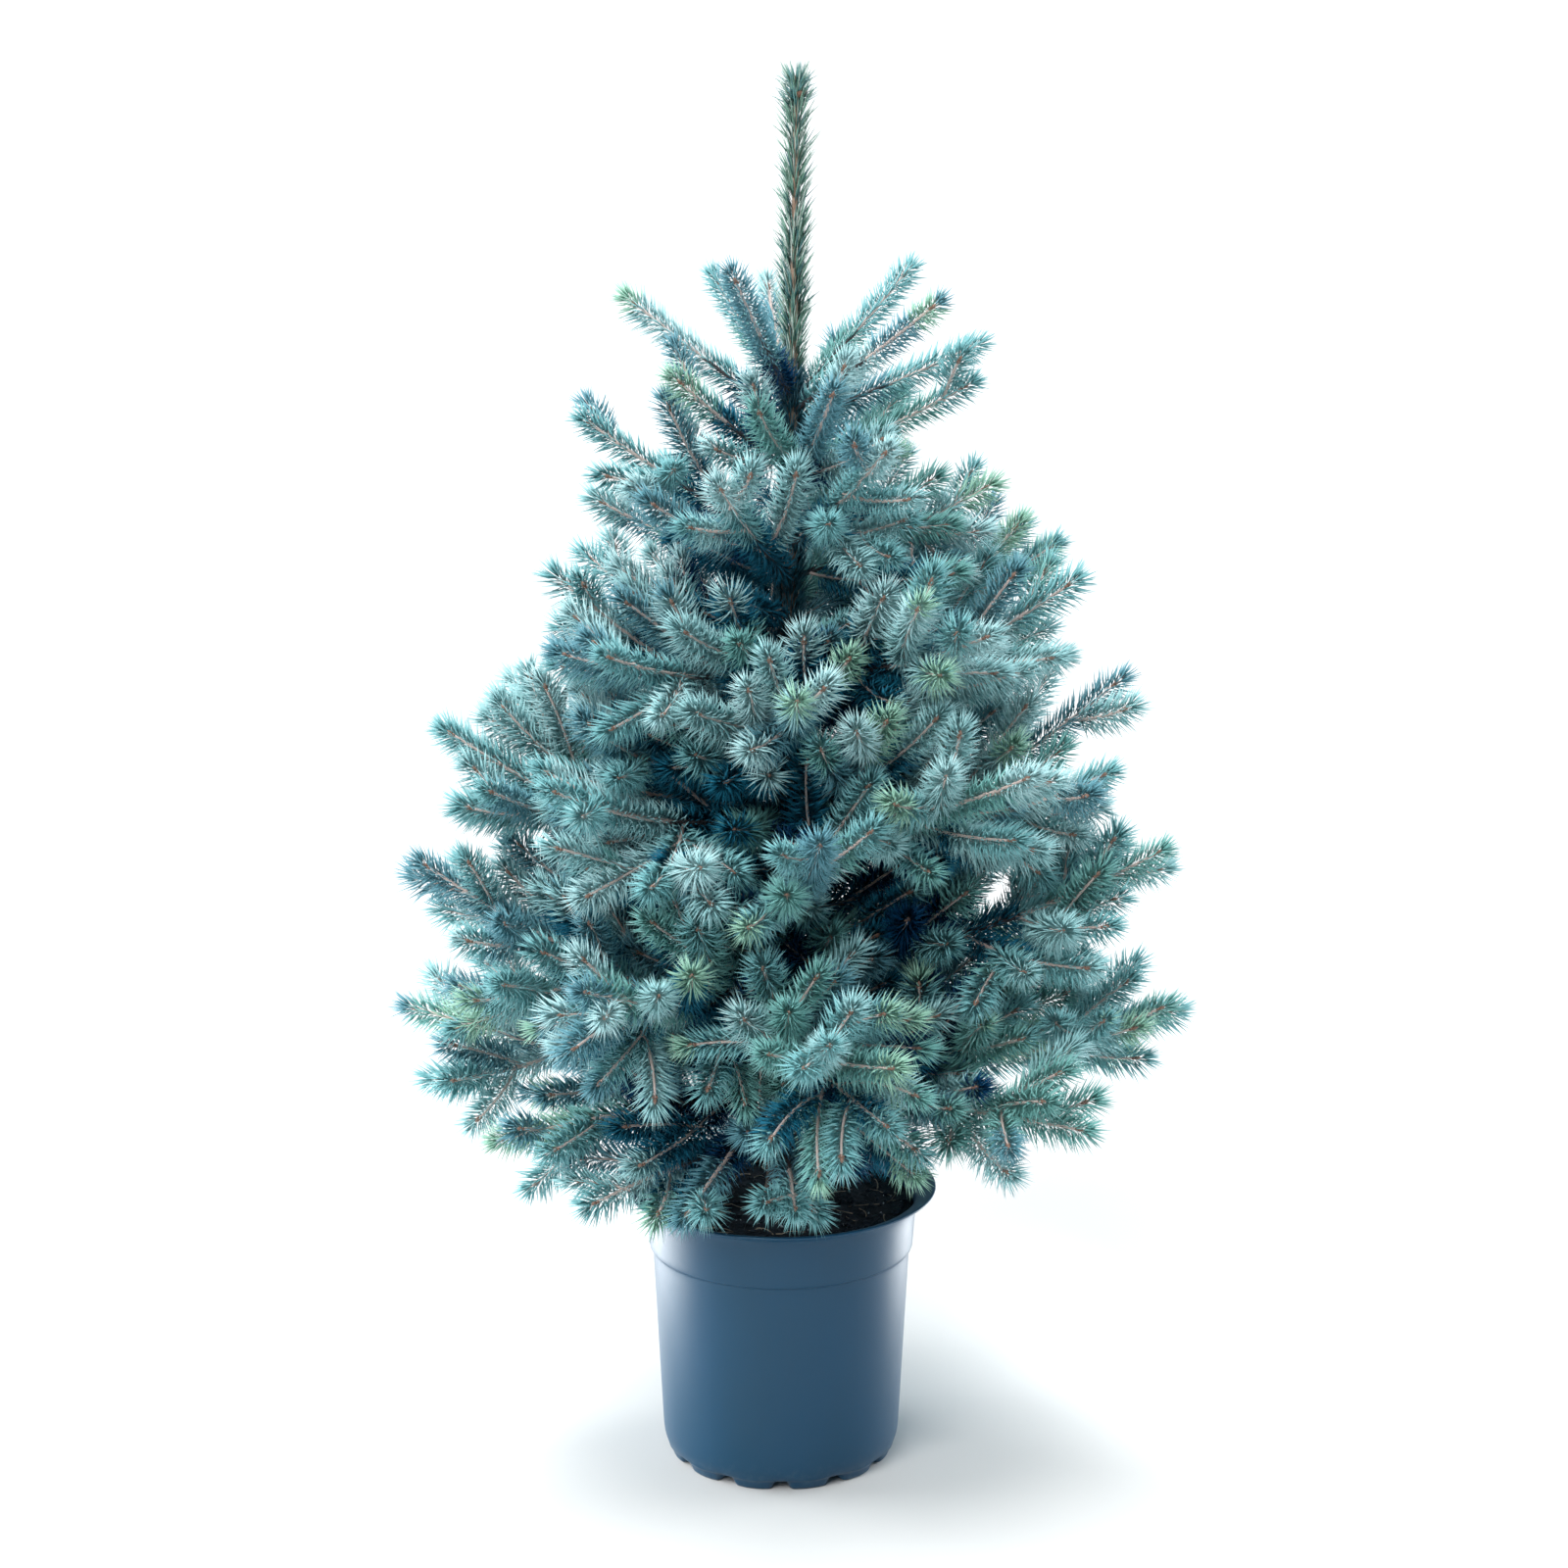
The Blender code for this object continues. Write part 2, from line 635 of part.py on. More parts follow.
def build_leader(material):
    # A sleeve of upright needle sprays, open at both ends round the trunk's tip.
    steps = [step / LEADER_GAPS for step in range(LEADER_GAPS + 1)]
    heights = [LEADER_FOOT + (LEADER_TOP - LEADER_FOOT) * step for step in steps]
    half_side = math.pi / LEADER_SIDES

    def bore_radius(height):
        return (trunk_radius(height) + 2.0 * GAP) / math.cos(half_side)

    bm = bmesh.new()
    outer = []
    for number, height in enumerate(heights):
        radius = bore_radius(height) + LEADER_WALL
        outer.append(ring_at(bm, trunk_centre(height), UP, radius, LEADER_SIDES, number * half_side))
    inner = []
    for number in (0, LEADER_GAPS):
        height = heights[number]
        inner.append(ring_at(bm, trunk_centre(height), UP, bore_radius(height), LEADER_SIDES,
                             number * half_side))
    for number in range(LEADER_GAPS):
        tuft = number == LEADER_GAPS - 1
        reach = TUFT_REACH if tuft else LEADER_REACH
        tip_height = TREE_TOP if tuft else heights[number + 1] + LEADER_LEAN
        for column in range(LEADER_SIDES):
            after = (column + 1) % LEADER_SIDES
            corners = (outer[number][column], outer[number][after],
                       outer[number + 1][after], outer[number + 1][column])
            middle = sum((corner.co for corner in corners), Vector()) / 4.0
            centre = trunk_centre(middle.z)
            direction = (middle - centre).normalized()
            tip = bm.verts.new(Vector((centre.x, centre.y, tip_height)) + direction * reach)
            for corner, following in zip(corners, corners[1:] + corners[:1]):
                bm.faces.new((corner, following, tip))
    for column in range(LEADER_SIDES):
        after = (column + 1) % LEADER_SIDES
        bm.faces.new((inner[0][after], inner[0][column], inner[1][column], inner[1][after]))
        bm.faces.new((inner[0][column], inner[0][after], outer[0][after], outer[0][column]))
        bm.faces.new((outer[-1][column], outer[-1][after], inner[1][after], inner[1][column]))
    return make_object("leader_needles", bm, material)


def build_tree():
    bark = make_material("bark", BARK_BROWN, 0.85)
    needles = make_material("needles", NEEDLE_BLUE, 0.60)
    draw = random.Random(SEED)
    limbs = [Limb(whorl, index) for whorl in WHORLS for index in range(len(whorl.limbs))]
    stems = [stem_shoot(limb, mass) for mass, limb in enumerate(limbs)]

    space = Space()
    for step in range(TRUNK_SAMPLES + 1):
        height = TRUNK_BASE + (TRUNK_TOP - TRUNK_BASE) * step / TRUNK_SAMPLES
        space.add([trunk_centre(height)], [trunk_radius(height)], LIMB_MASS, -1)
    for limb in limbs:
        if limb.whorl.bough:
            points = [limb.point(limb.whorl.bare * step / BOUGH_SAMPLES)
                      for step in range(BOUGH_SAMPLES + 1)]
            space.add(points, [limb.whorl.root_radius] * len(points), LIMB_MASS, -1)
    for index, stem in enumerate(stems):
        space.add(stem.points, [0.0] * len(stem.points), stem.mass, index)
    space.freeze()

    shoots = grow_twigs(stems, [limb.whorl.sides for limb in limbs], space, draw)
    build_trunk(bark)
    build_leader(needles)
    for mass, limb in enumerate(limbs):
        if limb.whorl.bough:
            build_bough(limb, limb.name.rsplit("_", 1)[1], bark)
        for attempt in range(FUSE_ATTEMPTS):
            stem = build_shoot(limb.name, mass, stems[mass], space, needles, draw)
            twigs = [build_shoot(f"twig_{index}", index, shoot, space, needles, draw)
                     for index, shoot in enumerate(shoots)
                     if shoot.mass == mass and index != mass]
            full = sum(enclosed_volume(shoot.data) for shoot in [stem] + twigs)
            fuse(stem, twigs)
            whole = enclosed_volume(stem.data) > WHOLE_SHARE * full
            if triangulate_closed(stem.data) and whole:
                break
            bpy.data.objects.remove(stem, do_unlink=True)
        else:
            raise RuntimeError(limb.name + " did not join into one closed shell")


clear_scene()
build_pot(make_material("pot_plastic", POT_BLUE, 0.38))
build_soil(make_material("soil", SOIL_BROWN, 0.95))
build_tree()
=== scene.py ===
# A potted blue spruce, dressed round its solids: pot, soil, bark, twigs, needles and buds.
# Metres, +Z up. -Y is the front and azimuths run anticlockwise from +X.

import math
import random

import bpy
import numpy as np
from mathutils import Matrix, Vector


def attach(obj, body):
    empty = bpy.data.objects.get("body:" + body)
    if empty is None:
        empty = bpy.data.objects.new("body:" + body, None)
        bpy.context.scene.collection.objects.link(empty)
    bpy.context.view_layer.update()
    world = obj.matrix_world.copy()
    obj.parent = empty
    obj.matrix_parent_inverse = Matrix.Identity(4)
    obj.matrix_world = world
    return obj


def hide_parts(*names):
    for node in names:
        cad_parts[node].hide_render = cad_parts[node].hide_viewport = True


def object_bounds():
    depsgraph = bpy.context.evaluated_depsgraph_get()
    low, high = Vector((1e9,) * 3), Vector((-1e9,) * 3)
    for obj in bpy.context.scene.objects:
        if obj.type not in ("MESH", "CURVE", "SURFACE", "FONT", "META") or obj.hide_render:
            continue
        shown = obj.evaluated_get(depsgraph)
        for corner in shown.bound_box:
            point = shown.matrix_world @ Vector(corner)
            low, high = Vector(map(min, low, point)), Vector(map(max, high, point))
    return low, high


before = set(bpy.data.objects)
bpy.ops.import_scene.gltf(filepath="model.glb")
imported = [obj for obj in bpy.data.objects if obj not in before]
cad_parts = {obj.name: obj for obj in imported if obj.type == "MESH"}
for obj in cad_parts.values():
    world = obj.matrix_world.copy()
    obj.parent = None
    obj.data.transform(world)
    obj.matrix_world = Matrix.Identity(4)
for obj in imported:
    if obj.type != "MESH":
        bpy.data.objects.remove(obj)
cadLow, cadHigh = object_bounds()
up = Vector((0.0, 0.0, 1.0))
goldenTurn = 137.508                # degrees from one needle or shoot to the next round its stem
print("frame loaded")


# Small helpers

def clamp(value):
    return min(max(value, 0.0), 1.0)


def mix(first, last, share):
    return first + (last - first) * share


def setMode(mode):
    bpy.ops.object.mode_set(mode=mode)


def deselectAll():
    if bpy.context.object and bpy.context.object.mode != "OBJECT":
        setMode("OBJECT")
    bpy.ops.object.select_all(action="DESELECT")


def activate(thing):
    deselectAll()
    thing.select_set(True)
    bpy.context.view_layer.objects.active = thing


def selectVertices(thing, wanted):
    # Picks vertices in object mode by their place and goes on in edit mode.
    setMode("EDIT")
    bpy.ops.mesh.select_mode(type="VERT")
    bpy.ops.mesh.select_all(action="DESELECT")
    setMode("OBJECT")
    for vertex in thing.data.vertices:
        if wanted(vertex.co):
            vertex.select = True
    setMode("EDIT")


def turnOutward():
    # Faces a whole mesh outward and leaves edit mode.
    bpy.ops.mesh.select_all(action="SELECT")
    bpy.ops.mesh.normals_make_consistent(inside=False)
    setMode("OBJECT")


def applyModifier(modifier):
    bpy.ops.object.modifier_apply(modifier=modifier.name)


def finishPiece(thing, material, replaced=()):
    thing.data.materials.clear()
    thing.data.materials.append(material)
    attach(thing, "root")
    if replaced:
        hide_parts(*replaced)
    return thing


def meshFromArrays(name, points, corners):
    # One mesh from vertex places and triangles.
    mesh = bpy.data.meshes.new(name)
    mesh.vertices.add(len(points))
    mesh.vertices.foreach_set("co", points.astype(np.float32).ravel())
    mesh.loops.add(corners.size)
    mesh.loops.foreach_set("vertex_index", corners.astype(np.int32).ravel())
    mesh.polygons.add(len(corners))
    mesh.polygons.foreach_set("loop_start", np.arange(0, corners.size, 3, dtype=np.int32))
    mesh.update(calc_edges=True)
    mesh.validate()
    thing = bpy.data.objects.new(name, mesh)
    bpy.context.scene.collection.objects.link(thing)
    return thing


def joinMeshes(name, parts, material):
    # One piece from several meshes, each given as vertex places and triangles.
    points, corners, first = [], [], 0
    for spots, faces in parts:
        points.append(spots)
        corners.append(np.array(faces) + first)
        first += len(spots)
    thing = meshFromArrays(name, np.concatenate(points), np.concatenate(corners))
    return finishPiece(thing, material)


def ringFaces(rings, sides):
    # Triangles between rings of vertices that follow one another.
    corners = []
    for low in range(0, (rings - 1) * sides, sides):
        high = low + sides
        for column in range(sides):
            after = (column + 1) % sides
            corners += [(low + column, high + after, low + after),
                        (low + column, high + column, high + after)]
    return corners


def addNode(tree, kind, values=None, **settings):
    # A shader node with its settings and its fixed input values.
    node = tree.nodes.new("ShaderNode" + kind)
    for name, value in settings.items():
        setattr(node, name, value)
    for name, value in (values or {}).items():
        node.inputs[name].default_value = value
    return node


def link(tree, *wires):
    # Each wire is a node, its output, the next node and its input.
    for source, output, target, entry in wires:
        tree.links.new(source.outputs[output], target.inputs[entry])


def plainMaterial(name, colour, roughness, specular=0.5):
    material = bpy.data.materials.new(name)
    material.use_nodes = True
    shader = material.node_tree.nodes["Principled BSDF"]
    shader.inputs["Base Color"].default_value = (*colour, 1.0)
    shader.inputs["Roughness"].default_value = roughness
    shader.inputs["Specular IOR Level"].default_value = specular
    return material


# Camera, floor and light

studio = {
    "cameraPlace": (0.0026, -3.1, 1.366),
    "cameraDown": 13.81,            # degrees below the horizon
    "lens": 86.37,
    "floorSize": 120.0,
    "lightDistance": 3.0,
    "floorColour": (0.64, 0.63, 0.62),
    "worldColour": (0.48, 0.78, 1.0),
    "worldStrength": 0.28,
    "lights": (                     # name, where it shines from, width in degrees, strength, colour
        ("overhead", (-0.06, -0.02, 1.0), 40.0, 3.0, (1.0, 1.0, 0.99)),
        ("frontKey", (-0.45, -1.0, 0.90), 36.0, 2.4, (1.0, 0.99, 0.97)),
        ("leftWindow", (-1.0, 0.22, 0.26), 50.0, 3.2, (0.94, 0.98, 1.0)),
        ("rightWindow", (1.0, 0.38, 0.22), 40.0, 2.6, (0.94, 0.98, 1.0)),
    ),
    "cards": (                      # name, centre, depth and height, power, colour
        ("leftCard", (-0.50, 0.16, 0.068), (0.50, 0.12), 3.7, (0.94, 0.98, 1.0)),
        ("rightCard", (0.46, 0.26, 0.068), (0.26, 0.12), 1.7, (0.94, 0.98, 1.0)),
    ),
}


def addLight(kind, name, place, aim, strength, colour):
    bpy.ops.object.light_add(type=kind, location=place, rotation=aim.to_track_quat("-Z", "Y").to_euler())
    light = bpy.context.object
    light.name = name
    light.data.energy = strength
    light.data.color = colour
    return light


def buildWorld():
    world = bpy.data.worlds.new("softRoom")
    world.use_nodes = True
    tree = world.node_tree
    sky = tree.nodes["Background"]
    sky.inputs["Color"].default_value = (*studio["worldColour"], 1.0)
    sky.inputs["Strength"].default_value = studio["worldStrength"]
    # A white wall stands behind the floor's far edge, seen but giving no light
    wall = addNode(tree, "Background", {"Color": (1.0, 1.0, 1.0, 1.0)})
    paths = addNode(tree, "LightPath")
    blend = addNode(tree, "MixShader")
    link(tree, (paths, "Is Camera Ray", blend, "Fac"), (sky, "Background", blend, 1),
         (wall, "Background", blend, 2), (blend, "Shader", tree.nodes["World Output"], "Surface"))
    bpy.context.scene.world = world


def buildStudio():
    deselectAll()
    bpy.ops.object.camera_add(
        location=studio["cameraPlace"],
        rotation=(math.radians(90.0 - studio["cameraDown"]), 0.0, 0.0))
    camera = bpy.context.object
    camera.name = "camera"
    camera.data.lens = studio["lens"]
    camera.data.sensor_width = 36.0
    bpy.context.scene.camera = camera

    deselectAll()
    bpy.ops.mesh.primitive_plane_add(size=studio["floorSize"], location=(0.0, 0.0, 0.0))
    floor = bpy.context.object
    floor.name = "floor"
    floor.data.materials.append(plainMaterial("floorPaper", studio["floorColour"], 0.8, 0.1))

    for name, source, width, strength, colour in studio["lights"]:
        place = Vector(source)
        light = addLight("SUN", name, place * studio["lightDistance"], -place, strength, colour)
        light.data.angle = math.radians(width)
    for name, source, (depth, tall), power, colour in studio["cards"]:
        place = Vector(source)
        card = addLight("AREA", name, place, Vector((-place.x, -place.y, 0.0)), power, colour)
        card.data.shape = "RECTANGLE"
        card.data.size = depth
        card.data.size_y = tall
        card.visible_camera = False
    buildWorld()
    bpy.context.scene.view_settings.view_transform = "Standard"
    print("studio built")


buildStudio()


# Shared effects

def buildMottleGroup():
    # Two colours mixed by noise on object coordinates, and the same noise as a height.
    group = bpy.data.node_groups.new("mottle", "ShaderNodeTree")
    for name, inOut, kind, value in (
            ("Dark", "INPUT", "Color", (0.1, 0.1, 0.1, 1.0)),
            ("Light", "INPUT", "Color", (0.5, 0.5, 0.5, 1.0)),
            ("Scale", "INPUT", "Float", 10.0),
            ("Low", "INPUT", "Float", 0.4),
            ("High", "INPUT", "Float", 0.6),
            ("Stretch", "INPUT", "Vector", (1.0, 1.0, 1.0)),
            ("Colour", "OUTPUT", "Color", None),
            ("Mask", "OUTPUT", "Float", None)):
        socket = group.interface.new_socket(name=name, in_out=inOut, socket_type="NodeSocket" + kind)
        if value is not None:
            socket.default_value = value
    given = group.nodes.new("NodeGroupInput")
    made = group.nodes.new("NodeGroupOutput")
    place = addNode(group, "TexCoord")
    stretch = addNode(group, "VectorMath", operation="MULTIPLY")
    noise = addNode(group, "TexNoise", {"Detail": 5.0, "Roughness": 0.6})
    span = addNode(group, "MapRange", interpolation_type="SMOOTHSTEP")
    blend = addNode(group, "Mix", data_type="RGBA")
    link(group, (place, "Object", stretch, 0), (given, "Stretch", stretch, 1),
         (stretch, "Vector", noise, "Vector"), (given, "Scale", noise, "Scale"),
         (noise, "Fac", span, "Value"), (given, "Low", span, "From Min"),
         (given, "High", span, "From Max"), (span, "Result", blend, "Factor"),
         (given, "Dark", blend, 6), (given, "Light", blend, 7),
         (blend, 2, made, "Colour"), (span, "Result", made, "Mask"))
    return group


mottle = buildMottleGroup()
black, grey, white = (0.0, 0.0, 0.0), (0.35, 0.35, 0.35), (1.0, 1.0, 1.0)


def addMottle(tree, dark, light, scale, low, high, stretch=(1.0, 1.0, 1.0)):
    return addNode(tree, "Group", {
        "Dark": (*dark, 1.0), "Light": (*light, 1.0),
        "Scale": scale, "Low": low, "High": high, "Stretch": stretch}, node_tree=mottle)


def addBump(tree, mask, distance, strength=1.0):
    # A mottle's mask raises the material's surface.
    bump = addNode(tree, "Bump", {"Distance": distance, "Strength": strength})
    link(tree, (mask, "Mask", bump, "Height"),
         (bump, "Normal", tree.nodes["Principled BSDF"], "Normal"))


def addHeightMask(tree, low, high):
    # Rises from 0 to 1 between two heights of the object.
    place = addNode(tree, "TexCoord")
    split = addNode(tree, "SeparateXYZ")
    span = addNode(tree, "MapRange", {"From Min": low, "From Max": high},
                   interpolation_type="SMOOTHSTEP")
    link(tree, (place, "Object", split, "Vector"), (split, "Z", span, "Value"))
    return span


def addBlend(tree, factor, first, second, mode="MIX"):
    # The factor is a socket or a number, first and second are sockets or colours.
    blend = addNode(tree, "Mix", data_type="RGBA", blend_type=mode)
    for entry, value in (("Factor", factor), (6, first), (7, second)):
        if isinstance(value, float):
            blend.inputs[entry].default_value = value
        elif isinstance(value, tuple):
            blend.inputs[entry].default_value = (*value, 1.0)
        else:
            tree.links.new(value, blend.inputs[entry])
    return blend.outputs[2]


# Pot

pot = {
    "segments": 144,
    "feet": 12,
    "footRing": (0.0785, 0.0960),   # radii between which the feet stand
    "footTop": 0.0105,
    "footBulge": 0.0020,
    "bulgeFrom": 0.086,             # radius from which a foot swells between its notches
    "notchShare": 0.28,             # share of a foot's width that is a drain notch
    "notchBelow": 0.0048,           # rings under this height are lifted in a notch
    "notchHeight": 0.0078,
    "notchInset": 0.0045,
    "insetFrom": 0.090,             # radius from which a notch is set in as well
    "colour": (0.0050, 0.043, 0.086),
    "paleColour": (0.0035, 0.046, 0.100),
    "dustColour": (0.022, 0.066, 0.112),
    "dustHeight": 0.035,
    "roughness": 0.36,
    "roughnessSpan": (-0.05, 0.10),
    "specular": 0.32,
    # Scale, low, high and stretch of each mottle
    "clouds": (9.0, 0.25, 0.80, (1.0, 1.0, 0.35)),
    "streaks": (60.0, 0.62, 0.78, (1.0, 1.0, 0.08)),
    "grain": (150.0, 0.45, 0.70),
    "skin": (900.0, 0.3, 0.7),
    "skinBump": (0.00004, 0.6),     # distance and strength
}

potProfile = (                      # radius and height of each ring, from the pad to the inner floor
    (0.0290, 0.0004), (0.0315, 0.0012), (0.0340, 0.0050), (0.0560, 0.0052), (0.0765, 0.0050),
    (0.0785, 0.0030), (0.0800, 0.0006), (0.0812, 0.0), (0.0868, 0.0), (0.0922, 0.0),
    (0.0938, 0.0010), (0.0950, 0.0040), (0.0966, 0.0086), (0.0986, 0.0100), (0.1000, 0.0112),
    (0.1022, 0.0165), (0.1035, 0.0230), (0.1043, 0.0400), (0.1068, 0.0900), (0.1094, 0.1400),
    (0.1114, 0.1800), (0.1119, 0.1902), (0.1123, 0.1913), (0.1140, 0.1921), (0.1149, 0.1930),
    (0.1152, 0.1946), (0.1158, 0.2050), (0.1168, 0.2180), (0.1178, 0.2290), (0.1190, 0.2345),
    (0.1214, 0.2382), (0.1250, 0.2402), (0.1310, 0.2424), (0.1340, 0.2434), (0.1348, 0.2442),
    (0.1349, 0.2452), (0.1340, 0.2459), (0.1325, 0.2459), (0.1290, 0.2448), (0.1240, 0.2427),
    (0.1200, 0.2405), (0.1172, 0.2370), (0.1158, 0.2300), (0.1150, 0.2200), (0.1134, 0.1985),
    (0.1120, 0.1930), (0.1094, 0.1890), (0.1064, 0.1400), (0.1010, 0.0500), (0.0990, 0.0150),
    (0.0975, 0.0118), (0.0950, 0.0112),
)


def buildPotMaterial():
    material = plainMaterial("potPlastic", pot["colour"], pot["roughness"], pot["specular"])
    tree = material.node_tree
    shader = tree.nodes["Principled BSDF"]
    cloudy = addMottle(tree, pot["colour"], pot["paleColour"], *pot["clouds"])
    streaks = addMottle(tree, black, white, *pot["streaks"])
    grain = addMottle(tree, black, white, *pot["grain"])
    low = addHeightMask(tree, pot["dustHeight"], 0.0)
    dustSpread = addNode(tree, "Math", operation="MULTIPLY")
    link(tree, (low, "Result", dustSpread, 0), (grain, "Mask", dustSpread, 1))
    dusty = addBlend(tree, dustSpread.outputs[0], cloudy.outputs["Colour"], pot["dustColour"])
    streaked = addBlend(tree, streaks.outputs["Mask"], dusty, pot["paleColour"])
    tree.links.new(streaked, shader.inputs["Base Color"])
    smooth, rough = pot["roughnessSpan"]
    sheen = addNode(tree, "MapRange", {
        "To Min": pot["roughness"] + smooth, "To Max": pot["roughness"] + rough})
    link(tree, (cloudy, "Mask", sheen, "Value"), (sheen, "Result", shader, "Roughness"))
    addBump(tree, addMottle(tree, black, white, *pot["skin"]), *pot["skinBump"])
    return material


def cutNotches(shell):
    # Drain notches between feet that swell a little.
    pitch = 2.0 * math.pi / pot["feet"]

    def inNotch(place):
        angle = math.atan2(place.y, place.x) + 0.5 * pitch
        return abs((angle % pitch) / pitch - 0.5) < 0.5 * pot["notchShare"]

    innermost, outermost = pot["footRing"]
    for ringRadius, ringHeight in potProfile:
        if not innermost < ringRadius < outermost or ringHeight > pot["notchBelow"]:
            continue
        selectVertices(shell, lambda place: inNotch(place) and place.z < pot["notchBelow"]
                       and abs(place.xy.length - ringRadius) < 0.0002)
        bpy.ops.transform.translate(value=(0.0, 0.0, pot["notchHeight"] - ringHeight))
        if ringRadius > pot["insetFrom"]:
            share = 1.0 - pot["notchInset"] / ringRadius
            bpy.ops.transform.resize(value=(share, share, 1.0), center_override=(0.0, 0.0, 0.0))
    turnOutward()
    for vertex in shell.data.vertices:      # each foot swells between its notches
        out = vertex.co.xy.length
        if out > pot["bulgeFrom"] and vertex.co.z < pot["footTop"]:
            turn = math.atan2(vertex.co.y, vertex.co.x) % pitch / pitch
            vertex.co.xy *= 1.0 + pot["footBulge"] * math.sin(math.pi * turn) ** 2 / out


def buildPot():
    deselectAll()
    firstRadius, height = potProfile[0]
    bpy.ops.mesh.primitive_circle_add(vertices=pot["segments"], radius=firstRadius,
                                      location=(0.0, 0.0, height), fill_type="NOTHING")
    shell = bpy.context.object
    shell.name = "potShell"
    bpy.ops.object.transform_apply(location=True, rotation=True, scale=True)
    setMode("EDIT")
    bpy.ops.mesh.select_all(action="SELECT")
    radius = firstRadius
    for nextRadius, nextHeight in potProfile[1:]:
        bpy.ops.mesh.extrude_region_move(
            TRANSFORM_OT_translate={"value": (0.0, 0.0, nextHeight - height)})
        share = nextRadius / radius
        bpy.ops.transform.resize(value=(share, share, 1.0), center_override=(0.0, 0.0, nextHeight))
        radius, height = nextRadius, nextHeight
    bpy.ops.mesh.edge_face_add()
    selectVertices(shell, lambda place: abs(place.xy.length - firstRadius) < 0.0005)
    bpy.ops.mesh.edge_face_add()
    cutNotches(shell)
    rounding = shell.modifiers.new("rounding", "SUBSURF")
    rounding.levels = rounding.render_levels = 1
    applyModifier(rounding)
    bpy.ops.object.shade_smooth()
    finishPiece(shell, buildPotMaterial(), ("pot",))
    print("pot built")


buildPot()


# Soil

soil = {
    "radius": 0.1144,
    "underRadius": 0.1100,
    "top": 0.2290,
    "bottom": 0.1900,
    "segments": 96,
    "rings": 30,
    "flatFrom": 0.985,              # share of the radius beyond which the top stays flat
    "dome": 0.0020,
    "reliefs": ((0.012, 0.0045), (0.004, 0.0022)),      # size and strength of lumps and crumbs
    "colour": (0.0014, 0.0060, 0.0135),
    "paleColour": (0.007, 0.015, 0.025),
    "crumbs": (220.0, 0.35, 0.75),  # scale, low and high of a mottle
    "damp": (24.0, 0.35, 0.65),
    "bump": 0.0008,
    "fibreKinds": (                 # name, colour, count
        ("strawFibres", (0.190, 0.155, 0.120), 64),
        ("rootFibres", (0.006, 0.011, 0.018), 170),
    ),
    "fibreLength": (0.008, 0.030),
    "fibreWidth": 0.0007,
    "fibreSteps": 5,
    "fibreCurl": 1.6,
    "fibreLift": 0.0022,
    "fibreRoots": (0.106, 0.022),   # farthest from and nearest to the middle
    "fibreReach": (0.020, 0.111),
    "lumps": (                      # name, count, sizes, colour, farthest, nearest, flatness
        ("barkChips", 500, (0.0015, 0.0050), (0.007, 0.013, 0.022), 0.108, 0.020, 0.45),
        ("palePebbles", 42, (0.0008, 0.0018), (0.30, 0.36, 0.40), 0.110, 0.060, 0.9),
    ),
}


def buildSoilMaterial():
    material = plainMaterial("dampSoil", soil["colour"], 0.9, 0.25)
    tree = material.node_tree
    crumbs = addMottle(tree, soil["colour"], soil["paleColour"], *soil["crumbs"])
    damp = addMottle(tree, grey, white, *soil["damp"])
    shaded = addBlend(tree, 1.0, crumbs.outputs["Colour"], damp.outputs["Colour"], "MULTIPLY")
    tree.links.new(shaded, tree.nodes["Principled BSDF"].inputs["Base Color"])
    addBump(tree, crumbs, soil["bump"])
    return material


def addRelief(thing, size, strength, group="", direction="NORMAL"):
    texture = bpy.data.textures.new("relief", "CLOUDS")
    texture.noise_scale = size
    relief = thing.modifiers.new("relief", "DISPLACE")
    relief.texture = texture
    relief.texture_coords = "LOCAL"
    relief.strength = strength
    relief.mid_level = 0.5
    relief.direction = direction
    relief.vertex_group = group
    applyModifier(relief)
    bpy.data.textures.remove(texture)


def buildSoil():
    deselectAll()
    middle = 0.5 * (soil["top"] + soil["bottom"])
    bpy.ops.mesh.primitive_cylinder_add(vertices=soil["segments"], radius=soil["radius"],
                                        depth=soil["top"] - soil["bottom"],
                                        location=(0.0, 0.0, middle), end_fill_type="NGON")
    plug = bpy.context.object
    plug.name = "soilPlug"
    bpy.ops.object.transform_apply(location=True, rotation=True, scale=True)
    selectVertices(plug, lambda place: place.z < middle)
    share = soil["underRadius"] / soil["radius"]
    bpy.ops.transform.resize(value=(share, share, 1.0), center_override=(0.0, 0.0, soil["bottom"]))
    selectVertices(plug, lambda place: place.z > middle)
    bpy.ops.mesh.select_mode(type="FACE")
    for ring in range(soil["rings"]):       # inward over the top
        bpy.ops.mesh.inset(thickness=soil["radius"] / (soil["rings"] + 1.0), depth=0.0)
    bpy.ops.mesh.poke()
    setMode("OBJECT")
    surface = plug.vertex_groups.new(name="surface")
    for vertex in plug.data.vertices:
        out = vertex.co.xy.length
        if vertex.co.z > middle and out < soil["radius"] * soil["flatFrom"]:
            vertex.co.z += soil["dome"] * (1.0 - (out / soil["radius"]) ** 2)
            surface.add([vertex.index], 1.0, "REPLACE")
    for size, strength in soil["reliefs"]:
        addRelief(plug, size, strength, "surface", "Z")
    plug.vertex_groups.clear()
    bpy.ops.object.shade_smooth()
    finishPiece(plug, buildSoilMaterial(), ("soil",))
    return plug


def soilHeights(plug):
    # Height of the soil's surface under any place, by the nearest vertex of its top.
    spots = np.array([vertex.co for vertex in plug.data.vertices])
    spots = spots[spots[:, 2] > soil["bottom"] + 0.02]

    def heightAt(x, y):
        nearest = np.argmin((spots[:, 0] - x) ** 2 + (spots[:, 1] - y) ** 2)
        return spots[nearest, 2]
    return heightAt


